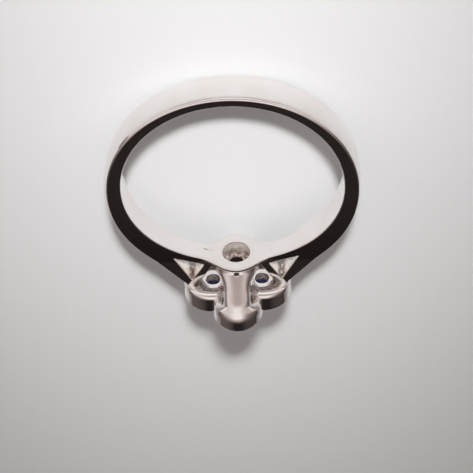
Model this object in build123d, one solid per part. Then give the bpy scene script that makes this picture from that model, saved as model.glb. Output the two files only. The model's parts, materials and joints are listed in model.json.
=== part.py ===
from build123d import *
from math import atan2, cos, degrees, hypot, radians, sin, sqrt, tan
import os

# Ring with a four-lobed sapphire head, in millimetres.
# It is modelled upright: the finger axis is Y, the head is up (+Z) and the finger centre is the origin.
# At the end it is laid on its side, as it rests on a table by itself.

# Shank
FINGER_RADIUS = 8.65        # inside radius, a 17.3 mm finger size
BAND_WIDTH = 2.75           # along the finger, at the back of the finger
NECK_WIDTH = 1.56           # along the finger, where the shoulders meet the head
TAPER_START = 1.0           # height above the finger centre where the band begins to narrow
BOTTOM_EDGE_WALL = 0.75     # wall at the band's edges, at the back of the finger
SIDE_EDGE_WALL = 1.15       # wall at the band's edges, at the sides of the finger
BOTTOM_CROWN_WALL = 1.15    # wall along the middle of the half-round outside, back of the finger
SIDE_CROWN_WALL = 1.25      # the same, at the sides of the finger
SHOULDER_ANGLE = 41.0       # degrees above the side where each shoulder runs on straight
SHOULDER_REACH = 10.34      # finger centre to the straight shoulder's outer line, at its edges
SHOULDER_CROWN = 0.12       # rise of the half-round outside along the shoulder

# Shoulder windows
ARCH_WALL_OUTER = 0.92      # metal between the finger and the window's outer corner
ARCH_WALL_INNER = 0.74      # metal between the finger and the window's inner corner
WINDOW_OUTER_ANGLE = 58.7   # degrees above the side, the outer corner
WINDOW_INNER_ANGLE = 74.1   # degrees above the side, the inner corner
ARM_WALL = 0.56             # metal outside the window's tip
WINDOW_TIP_INSET = 0.69     # window's tip inside the side of the head
STRUT_WALL = 0.62           # leg between the window and the head's side opening
WINDOW_CORNER = 0.1         # rounding of the window's corners

# Head
RIM_HEIGHT = 12.98          # finger centre to the flat rim that carries the stones
SIDE_LOBE_WALL = 0.8        # side stone's edge to the outside of its lobe
SIDE_LOBE_SHIFT = 0.1       # side stone's middle out to its lobe's middle
END_LOBE_WALL = 0.63        # the same two sizes for the front and back lobes
END_LOBE_SHIFT = 0.04
RIM_ROUNDING = 0.08
CUP_HEIGHT = 1.8            # rim to the top of the cup wall
CUP_SHOULDER = 0.5          # rounding at the top of the cup wall
CUP_WALL = 0.58
GROOVE_DEPTH = 0.9          # top of the cup wall to the floor of the groove inside it
SEAT_RING_RADIUS = 1.0      # flat ring round the light hole of a side stone
SEAT_RING_DEPTH = 0.32      # top of the cup wall to that ring
SIDE_HOLE_RADIUS = 0.56

# Collar and columns
COLLAR_RADIUS = 1.97
COLLAR_FACE = 8.43          # finger centre to the collar's flat face
COLLAR_THICKNESS = 0.32
SEAM_DEPTH = 0.05           # fine line under the collar
SEAM_WIDTH = 0.05
BOSS_RADIUS = 2.05          # shoulder of the tapered boss under the collar
BOSS_SHOULDER_DROP = 0.75   # collar face to that shoulder
BOSS_FOOT_RADIUS = 1.15
BOSS_FOOT_DROP = 2.35       # collar face to the boss's foot
COLLAR_HOLE_RADIUS = 1.1
COLLAR_HOLE_DEPTH = 1.1
CENTRE_HOLE_RADIUS = 0.58
CENTRE_HOLE_DEPTH = 3.1     # below the collar face
CENTRE_VENT_RADIUS = 0.3    # narrow hole on to the centre stone
COLLAR_BLEND = 1.1          # rounding in plan between the collar and the band
COLUMN_RADIUS = 1.0         # half-round front and back columns
COLUMN_FOOT_RISE = 1.36     # rim to where the column's line reaches the lobe's wall

# Stones
STONE_DIAMETER = 2.8
STONE_SPACING = 0.222       # between the edges of neighbouring stones
STONE_TURN = 49.56          # degrees from the side, the line between neighbouring stones
CENTRE_STONE_DIAMETER = 1.2
CENTRE_STONE_RISE = 0.15    # centre stone's girdle above the rim
TABLE_SHARE = 0.57          # of the stone's diameter
CROWN_SHARE = 0.15
PAVILION_SHARE = 0.43
GIRDLE_SHARE = 0.03
STAR_SLOPE = 21.0           # degrees from level
UPPER_GIRDLE_SLOPE = 40.5
LOWER_GIRDLE_SLOPE = 41.9
STONE_GAP = 0.035           # clearance between a stone and its seat
CLAW_RADIUS = 0.28
CLAW_LAP = 0.1              # how far a claw reaches over a stone's edge
CLAW_DROP = 0.06            # stones' tables down to the claws' tops
CENTRE_CLAW_RADIUS = 0.14
CLAW_ROOT = 0.35            # depth of a claw's foot in the rim
FOOT_SINK = 0.15            # how far struts, boss and columns run into the floor of the groove

# Values that follow from the sizes above
STONE_PITCH = STONE_DIAMETER + STONE_SPACING
SIDE_STONE_OFFSET = STONE_PITCH * cos(radians(STONE_TURN))
END_STONE_OFFSET = STONE_PITCH * sin(radians(STONE_TURN))
TABLE_HEIGHT = RIM_HEIGHT + STONE_DIAMETER * CROWN_SHARE
SIDE_LOBE_RADIUS = STONE_DIAMETER / 2 + SIDE_LOBE_WALL
SIDE_LOBE_OFFSET = SIDE_STONE_OFFSET + SIDE_LOBE_SHIFT
SIDE_REACH = SIDE_LOBE_OFFSET + SIDE_LOBE_RADIUS
END_LOBE_RADIUS = STONE_DIAMETER / 2 + END_LOBE_WALL
END_LOBE_OFFSET = END_STONE_OFFSET + END_LOBE_SHIFT
END_REACH = END_LOBE_OFFSET + END_LOBE_RADIUS
CUP_TOP = RIM_HEIGHT - CUP_HEIGHT
GROOVE_FLOOR = CUP_TOP + GROOVE_DEPTH
SEAT_RING_TOP = CUP_TOP + SEAT_RING_DEPTH
COLUMN_FOOT = RIM_HEIGHT - COLUMN_FOOT_RISE
COLUMN_TOP = COLLAR_FACE + COLLAR_THICKNESS + SEAM_WIDTH
COLUMN_LEAN = degrees(atan2(END_REACH - COLLAR_RADIUS, COLUMN_FOOT - COLUMN_TOP))
FOOT_HEIGHT = GROOVE_FLOOR + FOOT_SINK
BOTTOM_REACH = FINGER_RADIUS + BOTTOM_EDGE_WALL
REST_TILT = degrees(atan2(END_REACH - BAND_WIDTH / 2, RIM_HEIGHT + BOTTOM_REACH))
BEYOND = 4.0                # how far cutting tools run past the metal

LOBES = {
    "left": (-SIDE_LOBE_OFFSET, 0.0, SIDE_LOBE_RADIUS),
    "right": (SIDE_LOBE_OFFSET, 0.0, SIDE_LOBE_RADIUS),
    "front": (0.0, -END_LOBE_OFFSET, END_LOBE_RADIUS),
    "back": (0.0, END_LOBE_OFFSET, END_LOBE_RADIUS),
}
STONES = {
    "left": (-SIDE_STONE_OFFSET, 0.0),
    "right": (SIDE_STONE_OFFSET, 0.0),
    "front": (0.0, -END_STONE_OFFSET),
    "back": (0.0, END_STONE_OFFSET),
}
NEIGHBOURS = [(side, end) for side in ("left", "right") for end in ("front", "back")]


def polar(radius, angle):
    """Point in the front view at an angle in degrees above the side."""
    return Vector(radius * cos(radians(angle)), radius * sin(radians(angle)))


def front_plane(depth=0.0):
    """Front view: X to the right and Z up, at a depth along the finger."""
    return Plane(origin=(0, depth, 0), x_dir=(1, 0, 0), z_dir=(0, -1, 0))


def shoulder_line(bottom_wall, side_wall, reach):
    """Arc and straight run of one shoulder's outline: arc start, middle and end, then the run's direction."""
    radius = FINGER_RADIUS + side_wall
    lift = side_wall - bottom_wall
    start_to_reach = reach - radius - lift * sin(radians(SHOULDER_ANGLE))
    shift = start_to_reach / (1 - cos(radians(SHOULDER_ANGLE)))
    centre = Vector(-shift, lift)
    start = Vector(radius, lift)
    middle = centre + polar(radius + shift, SHOULDER_ANGLE / 2)
    end = centre + polar(radius + shift, SHOULDER_ANGLE)
    direction = polar(1.0, SHOULDER_ANGLE + 90)
    return start, middle, end, direction


def band_outline(depth, bottom_wall, side_wall, reach):
    """Outer outline of shank and shoulders in the front view, closed across the head."""
    start, middle, end, direction = shoulder_line(bottom_wall, side_wall, reach)
    wall_x = SIDE_REACH - CUP_SHOULDER
    top = end + direction * ((wall_x - end.X) / direction.X)
    foot = Vector(wall_x, FOOT_HEIGHT)
    bottom = Vector(0, -(FINGER_RADIUS + bottom_wall))
    with BuildSketch(front_plane(depth)) as outline:
        with BuildLine():
            ThreePointArc((-start.X, start.Y), bottom, start)
            ThreePointArc(start, middle, end)
            Line(end, top)
            Line(top, foot)
            Line(foot, (-foot.X, foot.Y))
            Line((-foot.X, foot.Y), (-top.X, top.Y))
            Line((-top.X, top.Y), (-end.X, end.Y))
            ThreePointArc((-end.X, end.Y), (-middle.X, middle.Y), (-start.X, start.Y))
        make_face()
    return outline.sketch


def band_blank():
    """Half-round shank and shoulders, before they are narrowed and pierced."""
    half = BAND_WIDTH / 2
    edge_near = band_outline(-half, BOTTOM_EDGE_WALL, SIDE_EDGE_WALL, SHOULDER_REACH)
    crown = band_outline(0, BOTTOM_CROWN_WALL, SIDE_CROWN_WALL, SHOULDER_REACH + SHOULDER_CROWN)
    edge_far = band_outline(half, BOTTOM_EDGE_WALL, SIDE_EDGE_WALL, SHOULDER_REACH)
    return loft([edge_near, crown, edge_far])


def width_prism():
    """Side view of the band: full width round the finger, narrowing to the neck."""
    half = BAND_WIDTH / 2
    neck = NECK_WIDTH / 2
    low = -(FINGER_RADIUS + BEYOND)
    high = RIM_HEIGHT
    rise = FINGER_RADIUS - TAPER_START
    radius = (rise**2 + (half - neck) ** 2) / (2 * (half - neck))
    middle_rise = rise / 2
    middle = half - (radius - sqrt(radius**2 - middle_rise**2))
    with BuildSketch(Plane.YZ) as side:
        with BuildLine():
            Line((-half, low), (half, low))
            Line((half, low), (half, TAPER_START))
            ThreePointArc((half, TAPER_START), (middle, TAPER_START + middle_rise), (neck, FINGER_RADIUS))
            Line((neck, FINGER_RADIUS), (neck, high))
            Line((neck, high), (-neck, high))
            Line((-neck, high), (-neck, FINGER_RADIUS))
            ThreePointArc((-neck, FINGER_RADIUS), (-middle, TAPER_START + middle_rise), (-half, TAPER_START))
            Line((-half, TAPER_START), (-half, low))
        make_face()
    return extrude(side.sketch, FINGER_RADIUS + BEYOND, both=True)


def finger_bore():
    """Cylinder that the finger passes through."""
    return Rot(X=90) * Cylinder(FINGER_RADIUS, 2 * END_REACH + 2 * BEYOND)


def window_corners():
    """Right-hand shoulder window in the front view: outer, inner and tip corners."""
    outer = polar(FINGER_RADIUS + ARCH_WALL_OUTER, WINDOW_OUTER_ANGLE)
    inner = polar(FINGER_RADIUS + ARCH_WALL_INNER, WINDOW_INNER_ANGLE)
    reach = SHOULDER_REACH - ARM_WALL
    tip_x = SIDE_REACH - WINDOW_TIP_INSET
    tip_height = (reach - tip_x * cos(radians(SHOULDER_ANGLE))) / sin(radians(SHOULDER_ANGLE))
    return outer, inner, Vector(tip_x, tip_height)


def mirrored_prisms(corners, corner_radius):
    """A pierced shape through the head along the finger, on the right and on the left."""
    with BuildSketch(front_plane(-END_REACH - BEYOND)) as shape:
        Polygon(*[(corner.X, corner.Y) for corner in corners], align=None)
        fillet(shape.vertices(), corner_radius)
    right = extrude(shape.sketch, -2 * (END_REACH + BEYOND))
    return right + mirror(right, about=Plane.YZ)


def shoulder_windows():
    """Three-cornered windows through both shoulders."""
    return mirrored_prisms(window_corners(), WINDOW_CORNER)


def side_openings():
    """Openings of the head between each strut and the columns."""
    outer, inner, tip = window_corners()
    along = (tip - inner).normalized()
    across = Vector(-along.Y, along.X)
    start = inner + across * STRUT_WALL
    top = start + along * ((COLLAR_FACE + BOSS_SHOULDER_DROP - start.Y) / along.Y)
    foot = start + along * ((FOOT_HEIGHT + WINDOW_CORNER - start.Y) / along.Y)
    inner_foot = Vector(COLUMN_RADIUS, foot.Y)
    inner_top = Vector(COLUMN_RADIUS, COLLAR_FACE + BOSS_FOOT_DROP)
    corners = [top, foot, inner_foot, inner_top]
    return mirrored_prisms(corners, WINDOW_CORNER)


def band():
    """Shank and forked shoulders."""
    blank = (band_blank() & width_prism()) + collar_blend()
    return blank - finger_bore() - shoulder_windows() - side_openings()


def collar_blend():
    """Rounded corners in plan where the band widens into the collar."""
    length = 2 * (COLLAR_RADIUS + COLLAR_BLEND)
    with BuildSketch(Plane.XY.offset(COLLAR_FACE)) as plan:
        Rectangle(length, NECK_WIDTH)
        Circle(COLLAR_RADIUS)
        corners = [point for point in plan.vertices() if abs(point.X) < COLLAR_RADIUS]
        fillet(corners, COLLAR_BLEND)
    return extrude(plan.sketch, BOSS_SHOULDER_DROP)


def boss():
    """Collar disc with the tapered boss under it, turned about the head's axis."""
    seam = COLLAR_FACE + COLLAR_THICKNESS
    with BuildSketch(Plane.XZ) as half:
        with BuildLine():
            Polyline(
                (0, COLLAR_FACE),
                (COLLAR_RADIUS, COLLAR_FACE),
                (COLLAR_RADIUS, seam),
                (COLLAR_RADIUS - SEAM_DEPTH, seam),
                (COLLAR_RADIUS - SEAM_DEPTH, seam + SEAM_WIDTH),
                (COLLAR_RADIUS, seam + SEAM_WIDTH),
                (BOSS_RADIUS, COLLAR_FACE + BOSS_SHOULDER_DROP),
                (BOSS_FOOT_RADIUS, COLLAR_FACE + BOSS_FOOT_DROP),
                (BOSS_FOOT_RADIUS, FOOT_HEIGHT),
                (0, FOOT_HEIGHT),
                close=True,
            )
        make_face()
    return revolve(half.sketch, Axis.Z)


def column(side):
    """Half-round column that leans from under the collar out to a lobe, front (-1) or back (1)."""
    lean = radians(COLUMN_LEAN)
    along = Vector(0, side * sin(lean), cos(lean))
    inward = Vector(0, -side * cos(lean), sin(lean))
    top = Vector(0, side * COLLAR_RADIUS, COLUMN_TOP)
    axis_start = top + inward * COLUMN_RADIUS
    length = (RIM_HEIGHT - axis_start.Z) / cos(lean)
    rod = Cylinder(COLUMN_RADIUS, length, align=(Align.CENTER, Align.CENTER, Align.MIN))
    return Plane(origin=axis_start, z_dir=along) * rod


def keel():
    """The two columns and the web between them, kept inside the lobes' outline."""
    lean = radians(COLUMN_LEAN)
    half = COLLAR_RADIUS - COLUMN_RADIUS * cos(lean)
    top = COLUMN_TOP + COLUMN_RADIUS * sin(lean)
    spread = (FOOT_HEIGHT - top) * tan(lean)
    with BuildSketch(Plane.YZ) as web:
        corners = [(-half, top), (half, top), (half + spread, FOOT_HEIGHT), (-half - spread, FOOT_HEIGHT)]
        Polygon(*corners, align=None)
    solid = extrude(web.sketch, COLUMN_RADIUS, both=True) + column(-1) + column(1)
    return solid & lobe_discs(0.0, COLLAR_FACE, FOOT_HEIGHT)


def lobe_discs(inset, bottom, top):
    """The four lobes as plain discs, each smaller than its lobe by an inset."""
    height = top - bottom
    discs = [
        Pos(x, y, bottom) * Cylinder(radius - inset, height, align=(Align.CENTER, Align.CENTER, Align.MIN))
        for x, y, radius in LOBES.values()
    ]
    return Part() + discs


def meeting_point(first, second, first_reach, second_reach, outward):
    """Where two circles round two lobe middles cross, on the outer or the inner side of the head."""
    (ax, ay), (bx, by) = first[:2], second[:2]
    apart = hypot(bx - ax, by - ay)
    along = (apart**2 + first_reach**2 - second_reach**2) / (2 * apart)
    aside = sqrt(first_reach**2 - along**2)
    ux, uy = (bx - ax) / apart, (by - ay) / apart
    options = [
        (ax + ux * along - sign * uy * aside, ay + uy * along + sign * ux * aside) for sign in (-1, 1)
    ]
    options.sort(key=lambda point: hypot(*point))
    return options[-1] if outward else options[0]


def cup():
    """Four-lobed cup: filleted wall, groove inside it and the flat rings of the side seats."""
    body = Part()
    for x, y, radius in LOBES.values():
        lobe = Cylinder(radius, CUP_HEIGHT, align=(Align.CENTER, Align.CENTER, Align.MIN))
        lobe = fillet(lobe.edges().sort_by(Axis.Z)[0], CUP_SHOULDER)
        lobe = fillet(lobe.edges().sort_by(Axis.Z)[-1], RIM_ROUNDING)
        body += Pos(x, y, CUP_TOP) * lobe
    side, end = LOBES["left"], LOBES["front"]
    notch = meeting_point(side, end, side[2], end[2], outward=True)
    core_radius = hypot(*notch) - CUP_WALL
    depth = GROOVE_DEPTH + BEYOND
    groove = lobe_discs(CUP_WALL, CUP_TOP - BEYOND, GROOVE_FLOOR)
    groove += Pos(0, 0, CUP_TOP - BEYOND) * Cylinder(
        core_radius, depth, align=(Align.CENTER, Align.CENTER, Align.MIN)
    )
    for name in ("left", "right"):
        x, y = STONES[name]
        ring = Cylinder(SEAT_RING_RADIUS, depth, align=(Align.CENTER, Align.CENTER, Align.MIN))
        groove -= Pos(x, y, SEAT_RING_TOP) * ring
    return body - groove


def claw(x, y, radius, top):
    """Round claw with a domed end, standing on the rim."""
    root = RIM_HEIGHT - CLAW_ROOT
    post = Pos(x, y, root) * Cylinder(
        radius, top - radius - root, align=(Align.CENTER, Align.CENTER, Align.MIN)
    )
    return post + Pos(x, y, top - radius) * Sphere(radius)


def claws():
    """Shared claws between neighbouring stones, and the centre stone's post with its four claws."""
    top = TABLE_HEIGHT - CLAW_DROP
    reach = STONE_DIAMETER / 2 + CLAW_RADIUS - CLAW_LAP
    centre_reach = CENTRE_STONE_DIAMETER / 2 + STONE_GAP
    post_height = CENTRE_STONE_RISE + CLAW_ROOT
    solid = Pos(0, 0, RIM_HEIGHT - CLAW_ROOT) * Cylinder(
        centre_reach, post_height, align=(Align.CENTER, Align.CENTER, Align.MIN)
    )
    for side, end in NEIGHBOURS:
        for outward in (True, False):
            x, y = meeting_point(STONES[side], STONES[end], reach, reach, outward)
            solid += claw(x, y, CLAW_RADIUS, top)
        turn = atan2(STONES[end][1], STONES[side][0])
        x, y = centre_reach * cos(turn), centre_reach * sin(turn)
        solid += claw(x, y, CENTRE_CLAW_RADIUS, top)
    return solid


def stone_levels(diameter, girdle_top):
    """Heights of a stone's table, girdle top, girdle bottom and point."""
    table = girdle_top + diameter * CROWN_SHARE
    girdle_bottom = girdle_top - diameter * GIRDLE_SHARE
    point = girdle_bottom - diameter * PAVILION_SHARE
    return table, girdle_top, girdle_bottom, point


def seat(x, y, diameter, girdle_top):
    """Space that a stone and its clearance take, open above the table."""
    table, girdle_top, girdle_bottom, point = stone_levels(diameter, girdle_top)
    radius = diameter / 2
    slope_gap = STONE_GAP * hypot(1.0, 2 * PAVILION_SHARE) / (2 * PAVILION_SHARE)
    with BuildSketch(Plane.XZ) as half:
        Polygon(
            (0, point - slope_gap),
            (radius + slope_gap, girdle_bottom - STONE_GAP),
            (radius + slope_gap, girdle_top + STONE_GAP),
            (radius * TABLE_SHARE + 2 * slope_gap, table),
            (radius * TABLE_SHARE + 2 * slope_gap, table + BEYOND),
            (0, table + BEYOND),
            align=None,
        )
    return Pos(x, y, 0) * revolve(half.sketch, Axis.Z)


def drill(x, y, radius, start, end):
    """Round hole along the head's axis."""
    return Pos(x, y, start) * Cylinder(radius, end - start, align=(Align.CENTER, Align.CENTER, Align.MIN))


def mount():
    """The whole soldered casting."""
    solid = cup() + band() + boss() + keel() + claws()
    for x, y in STONES.values():
        solid -= seat(x, y, STONE_DIAMETER, RIM_HEIGHT)
    solid -= seat(0, 0, CENTRE_STONE_DIAMETER, RIM_HEIGHT + CENTRE_STONE_RISE)
    for name in ("left", "right"):
        x, y = STONES[name]
        solid -= drill(x, y, SIDE_HOLE_RADIUS, SEAT_RING_TOP - CUP_WALL, GROOVE_FLOOR)
    solid -= drill(0, 0, COLLAR_HOLE_RADIUS, COLLAR_FACE - BEYOND, COLLAR_FACE + COLLAR_HOLE_DEPTH)
    solid -= drill(0, 0, CENTRE_HOLE_RADIUS, COLLAR_FACE, COLLAR_FACE + CENTRE_HOLE_DEPTH)
    solid -= drill(0, 0, CENTRE_VENT_RADIUS, COLLAR_FACE, RIM_HEIGHT - CLAW_ROOT)
    return solid


def facets(diameter):
    """Facet rows of a round brilliant: how many, first turn, slope, and a point each plane passes through."""
    radius = diameter / 2
    crown = diameter * CROWN_SHARE
    girdle = -diameter * GIRDLE_SHARE
    table_corner = radius * TABLE_SHARE
    table_flat = table_corner * cos(radians(22.5))
    girdle_flat = radius * cos(radians(11.25))
    main_slope = degrees(atan2(crown, radius - table_corner))
    pavilion_slope = degrees(atan2(PAVILION_SHARE, 0.5))
    return [
        (1, 0.0, 0.0, 0.0, crown),
        (8, 0.0, main_slope, radius, 0.0),
        (8, 22.5, STAR_SLOPE, table_flat, crown),
        (16, 11.25, UPPER_GIRDLE_SLOPE, girdle_flat, 0.0),
        (16, 11.25, 180 - LOWER_GIRDLE_SLOPE, girdle_flat, girdle),
        (8, 0.0, 180 - pavilion_slope, radius, girdle),
    ]


def sapphire(x, y, diameter, girdle_top):
    """Round brilliant with a sixteen-sided girdle, its table towards the wearer's eye."""
    with BuildSketch() as outline:
        RegularPolygon(diameter / 2, 16, major_radius=True)
    stone = Pos(0, 0, -diameter) * extrude(outline.sketch, 2 * diameter)
    for count, first, slope, reach, height in facets(diameter):
        for step in range(count):
            angle = radians(first + step * 360 / count)
            tilt = radians(slope)
            normal = Vector(sin(tilt) * cos(angle), sin(tilt) * sin(angle), cos(tilt))
            point = Vector(reach * cos(angle), reach * sin(angle), height)
            stone = split(stone, bisect_by=Plane(origin=point, z_dir=normal), keep=Keep.BOTTOM)
    return Pos(x, y, girdle_top) * stone


def lay_down(shape):
    """Turn the ring onto its side, head away and front up, tilted as it rests on a table."""
    return Rot(X=REST_TILT - 90) * shape


def build():
    """All pieces of the ring as it lies on its side, standing on Z = 0 about the origin."""
    pieces = {"ring_mount": mount()}
    for name, (x, y) in STONES.items():
        pieces["sapphire_" + name] = sapphire(x, y, STONE_DIAMETER, RIM_HEIGHT)
    pieces["sapphire_centre"] = sapphire(0, 0, CENTRE_STONE_DIAMETER, RIM_HEIGHT + CENTRE_STONE_RISE)
    laid = {name: lay_down(shape) for name, shape in pieces.items()}
    box = Compound([shape.solid() for shape in laid.values()]).bounding_box()
    drop = Pos(-box.center().X, -box.center().Y, -box.min.Z)
    print("finger centre", drop.position, "tilt", round(REST_TILT, 3), "box", box.size)
    return {name: drop * shape.solid() for name, shape in laid.items()}


os.makedirs("parts", exist_ok=True)
for node, piece in build().items():
    export_step(piece, "parts/" + node + ".step")
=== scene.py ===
import json
import logging
import math
from dataclasses import dataclass, field, replace
from enum import Enum
from typing import Callable

import bmesh
import bpy
import numpy as np
from mathutils import Matrix, Vector


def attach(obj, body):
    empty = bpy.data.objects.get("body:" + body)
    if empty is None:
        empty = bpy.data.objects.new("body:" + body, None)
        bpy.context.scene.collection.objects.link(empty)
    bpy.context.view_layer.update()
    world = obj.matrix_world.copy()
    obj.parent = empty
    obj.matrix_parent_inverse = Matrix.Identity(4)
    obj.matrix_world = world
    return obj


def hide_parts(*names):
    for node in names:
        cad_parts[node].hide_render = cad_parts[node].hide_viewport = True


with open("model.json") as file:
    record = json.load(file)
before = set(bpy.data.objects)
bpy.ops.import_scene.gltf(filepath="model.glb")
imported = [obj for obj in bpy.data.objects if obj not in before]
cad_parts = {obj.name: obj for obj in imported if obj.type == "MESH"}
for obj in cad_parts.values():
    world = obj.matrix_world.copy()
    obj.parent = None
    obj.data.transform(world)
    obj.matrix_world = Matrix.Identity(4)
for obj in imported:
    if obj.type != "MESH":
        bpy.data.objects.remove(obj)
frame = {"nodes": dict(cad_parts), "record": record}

# The ring is shaped upright in millimetres, as a goldsmith holds it: the finger axis is Y, the head is up
# (+Z) and the middle of the finger hole is the origin. Each finished mesh is then laid on its side where the
# frame holds it. Shapes are distance fields: how far a point is outside (+) or inside (-) the metal. The
# ring's four quarters are alike but for its marks of wear, so its forms are given for the right front
# quarter alone, where x and y are never negative.

log = logging.getLogger("ring")
MM = 0.001
BODY = "root"
CASTING_NODE = "ring_mount"
Array = np.ndarray
Field = Callable[[Array], Array]
Pair = tuple[float, float]
Triple = tuple[float, float, float]
Socket = bpy.types.NodeSocket
FULL: Pair = (0.0, 1.0)


class Slot(Enum):
    """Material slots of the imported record."""

    WHITE_GOLD = "white_gold"
    SAPPHIRE = "sapphire"


class Skin(Enum):
    """What the surface of the casting is like, and where shade is painted on it, as weights stored on its
    points.
    """

    CAST = "cast_skin"
    RESIDUE_AND_SHADE = "residue_and_shade"
    SEAM = "seam_line"


def round_union(a: Array, b: Array, radius: float | Array) -> Array:
    """Distance to two shapes joined with a hollow fillet, its radius in millimetres."""
    corner = np.hypot(np.maximum(radius - a, 0.0), np.maximum(radius - b, 0.0))
    return np.maximum(radius, np.minimum(a, b)) - corner


def round_meet(a: Array, b: Array, radius: float | Array) -> Array:
    """Distance to what two shapes share, its edge rounded, the radius in millimetres."""
    corner = np.hypot(np.maximum(radius + a, 0.0), np.maximum(radius + b, 0.0))
    return np.minimum(-radius, np.maximum(a, b)) + corner


def round_cut(a: Array, b: Array, radius: float | Array) -> Array:
    """The first shape with the second cut out of it and the edge rounded."""
    return round_meet(a, -b, radius)


def convex_outline(u: Array, v: Array, corners: list[Pair], radius: float) -> Array:
    """Distance to a convex outline with rounded corners.

    Args:
        u: First coordinate of each point.
        v: Second coordinate of each point.
        corners: Corners of the outline, anticlockwise.
        radius: Rounding of the corners.

    Returns:
        Distance to the outline, negative inside it.
    """
    distance = np.full(u.shape, -1e3)
    for (u0, v0), (u1, v1) in zip(corners, corners[1:] + corners[:1]):
        length = math.hypot(u1 - u0, v1 - v0)
        edge = ((u - u0) * (v1 - v0) - (v - v0) * (u1 - u0)) / length
        distance = round_meet(distance, edge, radius)
    return distance


def smooth_max(a: Array, b: Array, reach: float) -> Array:
    """The larger of two values, with the change between them spread out."""
    return np.maximum(a, b) + np.maximum(reach - np.abs(a - b), 0.0) ** 2 / (4.0 * reach)


def soft_step(value: Array, start: float, end: float) -> Array:
    """Smooth ramp from 0 at start to 1 at end."""
    share = np.clip((value - start) / (end - start), 0.0, 1.0)
    return share * share * (3.0 - 2.0 * share)


def folded(points: Array) -> tuple[Array, Array, Array]:
    """Coordinates folded into the right front quarter: across the finger, along it and height."""
    return np.abs(points[0]), np.abs(points[1]), points[2]


def soft_rise(z: Array, level: float, rise: Pair) -> Array:
    """Soft step from 0 at the first height above a level to 1 at the second."""
    return soft_step(z, level + rise[0], level + rise[1])


@dataclass(frozen=True)
class Stones:
    """Where the sapphires sit in the head.

    All sizes are in millimetres.
    """

    diameter: float = 2.8
    spacing: float = 0.222
    turn: float = 49.56
    centre_diameter: float = 1.2
    centre_rise: float = 0.15
    crown_share: float = 0.15
    pavilion_share: float = 0.43
    girdle_share: float = 0.03
    gap: float = 0.035
    rim: float = 12.98

    @property
    def side_offset(self) -> float:
        """Head's middle to a side stone's middle."""
        return (self.diameter + self.spacing) * math.cos(math.radians(self.turn))

    @property
    def end_offset(self) -> float:
        """Head's middle to a front or back stone's middle."""
        return (self.diameter + self.spacing) * math.sin(math.radians(self.turn))

    @property
    def table(self) -> float:
        """Height of the main stones' tables."""
        return self.rim + self.diameter * self.crown_share

    def seat(self, rho: Array, z: Array, diameter: float, girdle: float) -> Array:
        """Distance to the conical seat of one stone, open above its girdle.

        Args:
            rho: Distance from the stone's axis.
            z: Height of each point.
            diameter: The stone's diameter.
            girdle: Height of the top of its girdle.

        Returns:
            Distance to the space that the seat takes.
        """
        slope = math.atan2(self.pavilion_share, 0.5)
        girdle_bottom = girdle - diameter * self.girdle_share
        point = girdle_bottom - diameter * self.pavilion_share
        cone = rho * math.sin(slope) - (z - point) * math.cos(slope) - self.gap
        return np.maximum(cone, rho - diameter / 2 - self.gap)

    def seats(self, x: Array, y: Array, z: Array) -> Array:
        """Distance to the seats of all the stones, for points folded into one quarter.

        Args:
            x: Across the finger.
            y: Along the finger.
            z: Height.

        Returns:
            Distance to the space that the seats take.
        """
        side = self.seat(np.hypot(x - self.side_offset, y), z, self.diameter, self.rim)
        end = self.seat(np.hypot(x, y - self.end_offset), z, self.diameter, self.rim)
        middle = self.seat(np.hypot(x, y), z, self.centre_diameter, self.rim + self.centre_rise)
        return np.minimum(np.minimum(side, end), middle)


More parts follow.
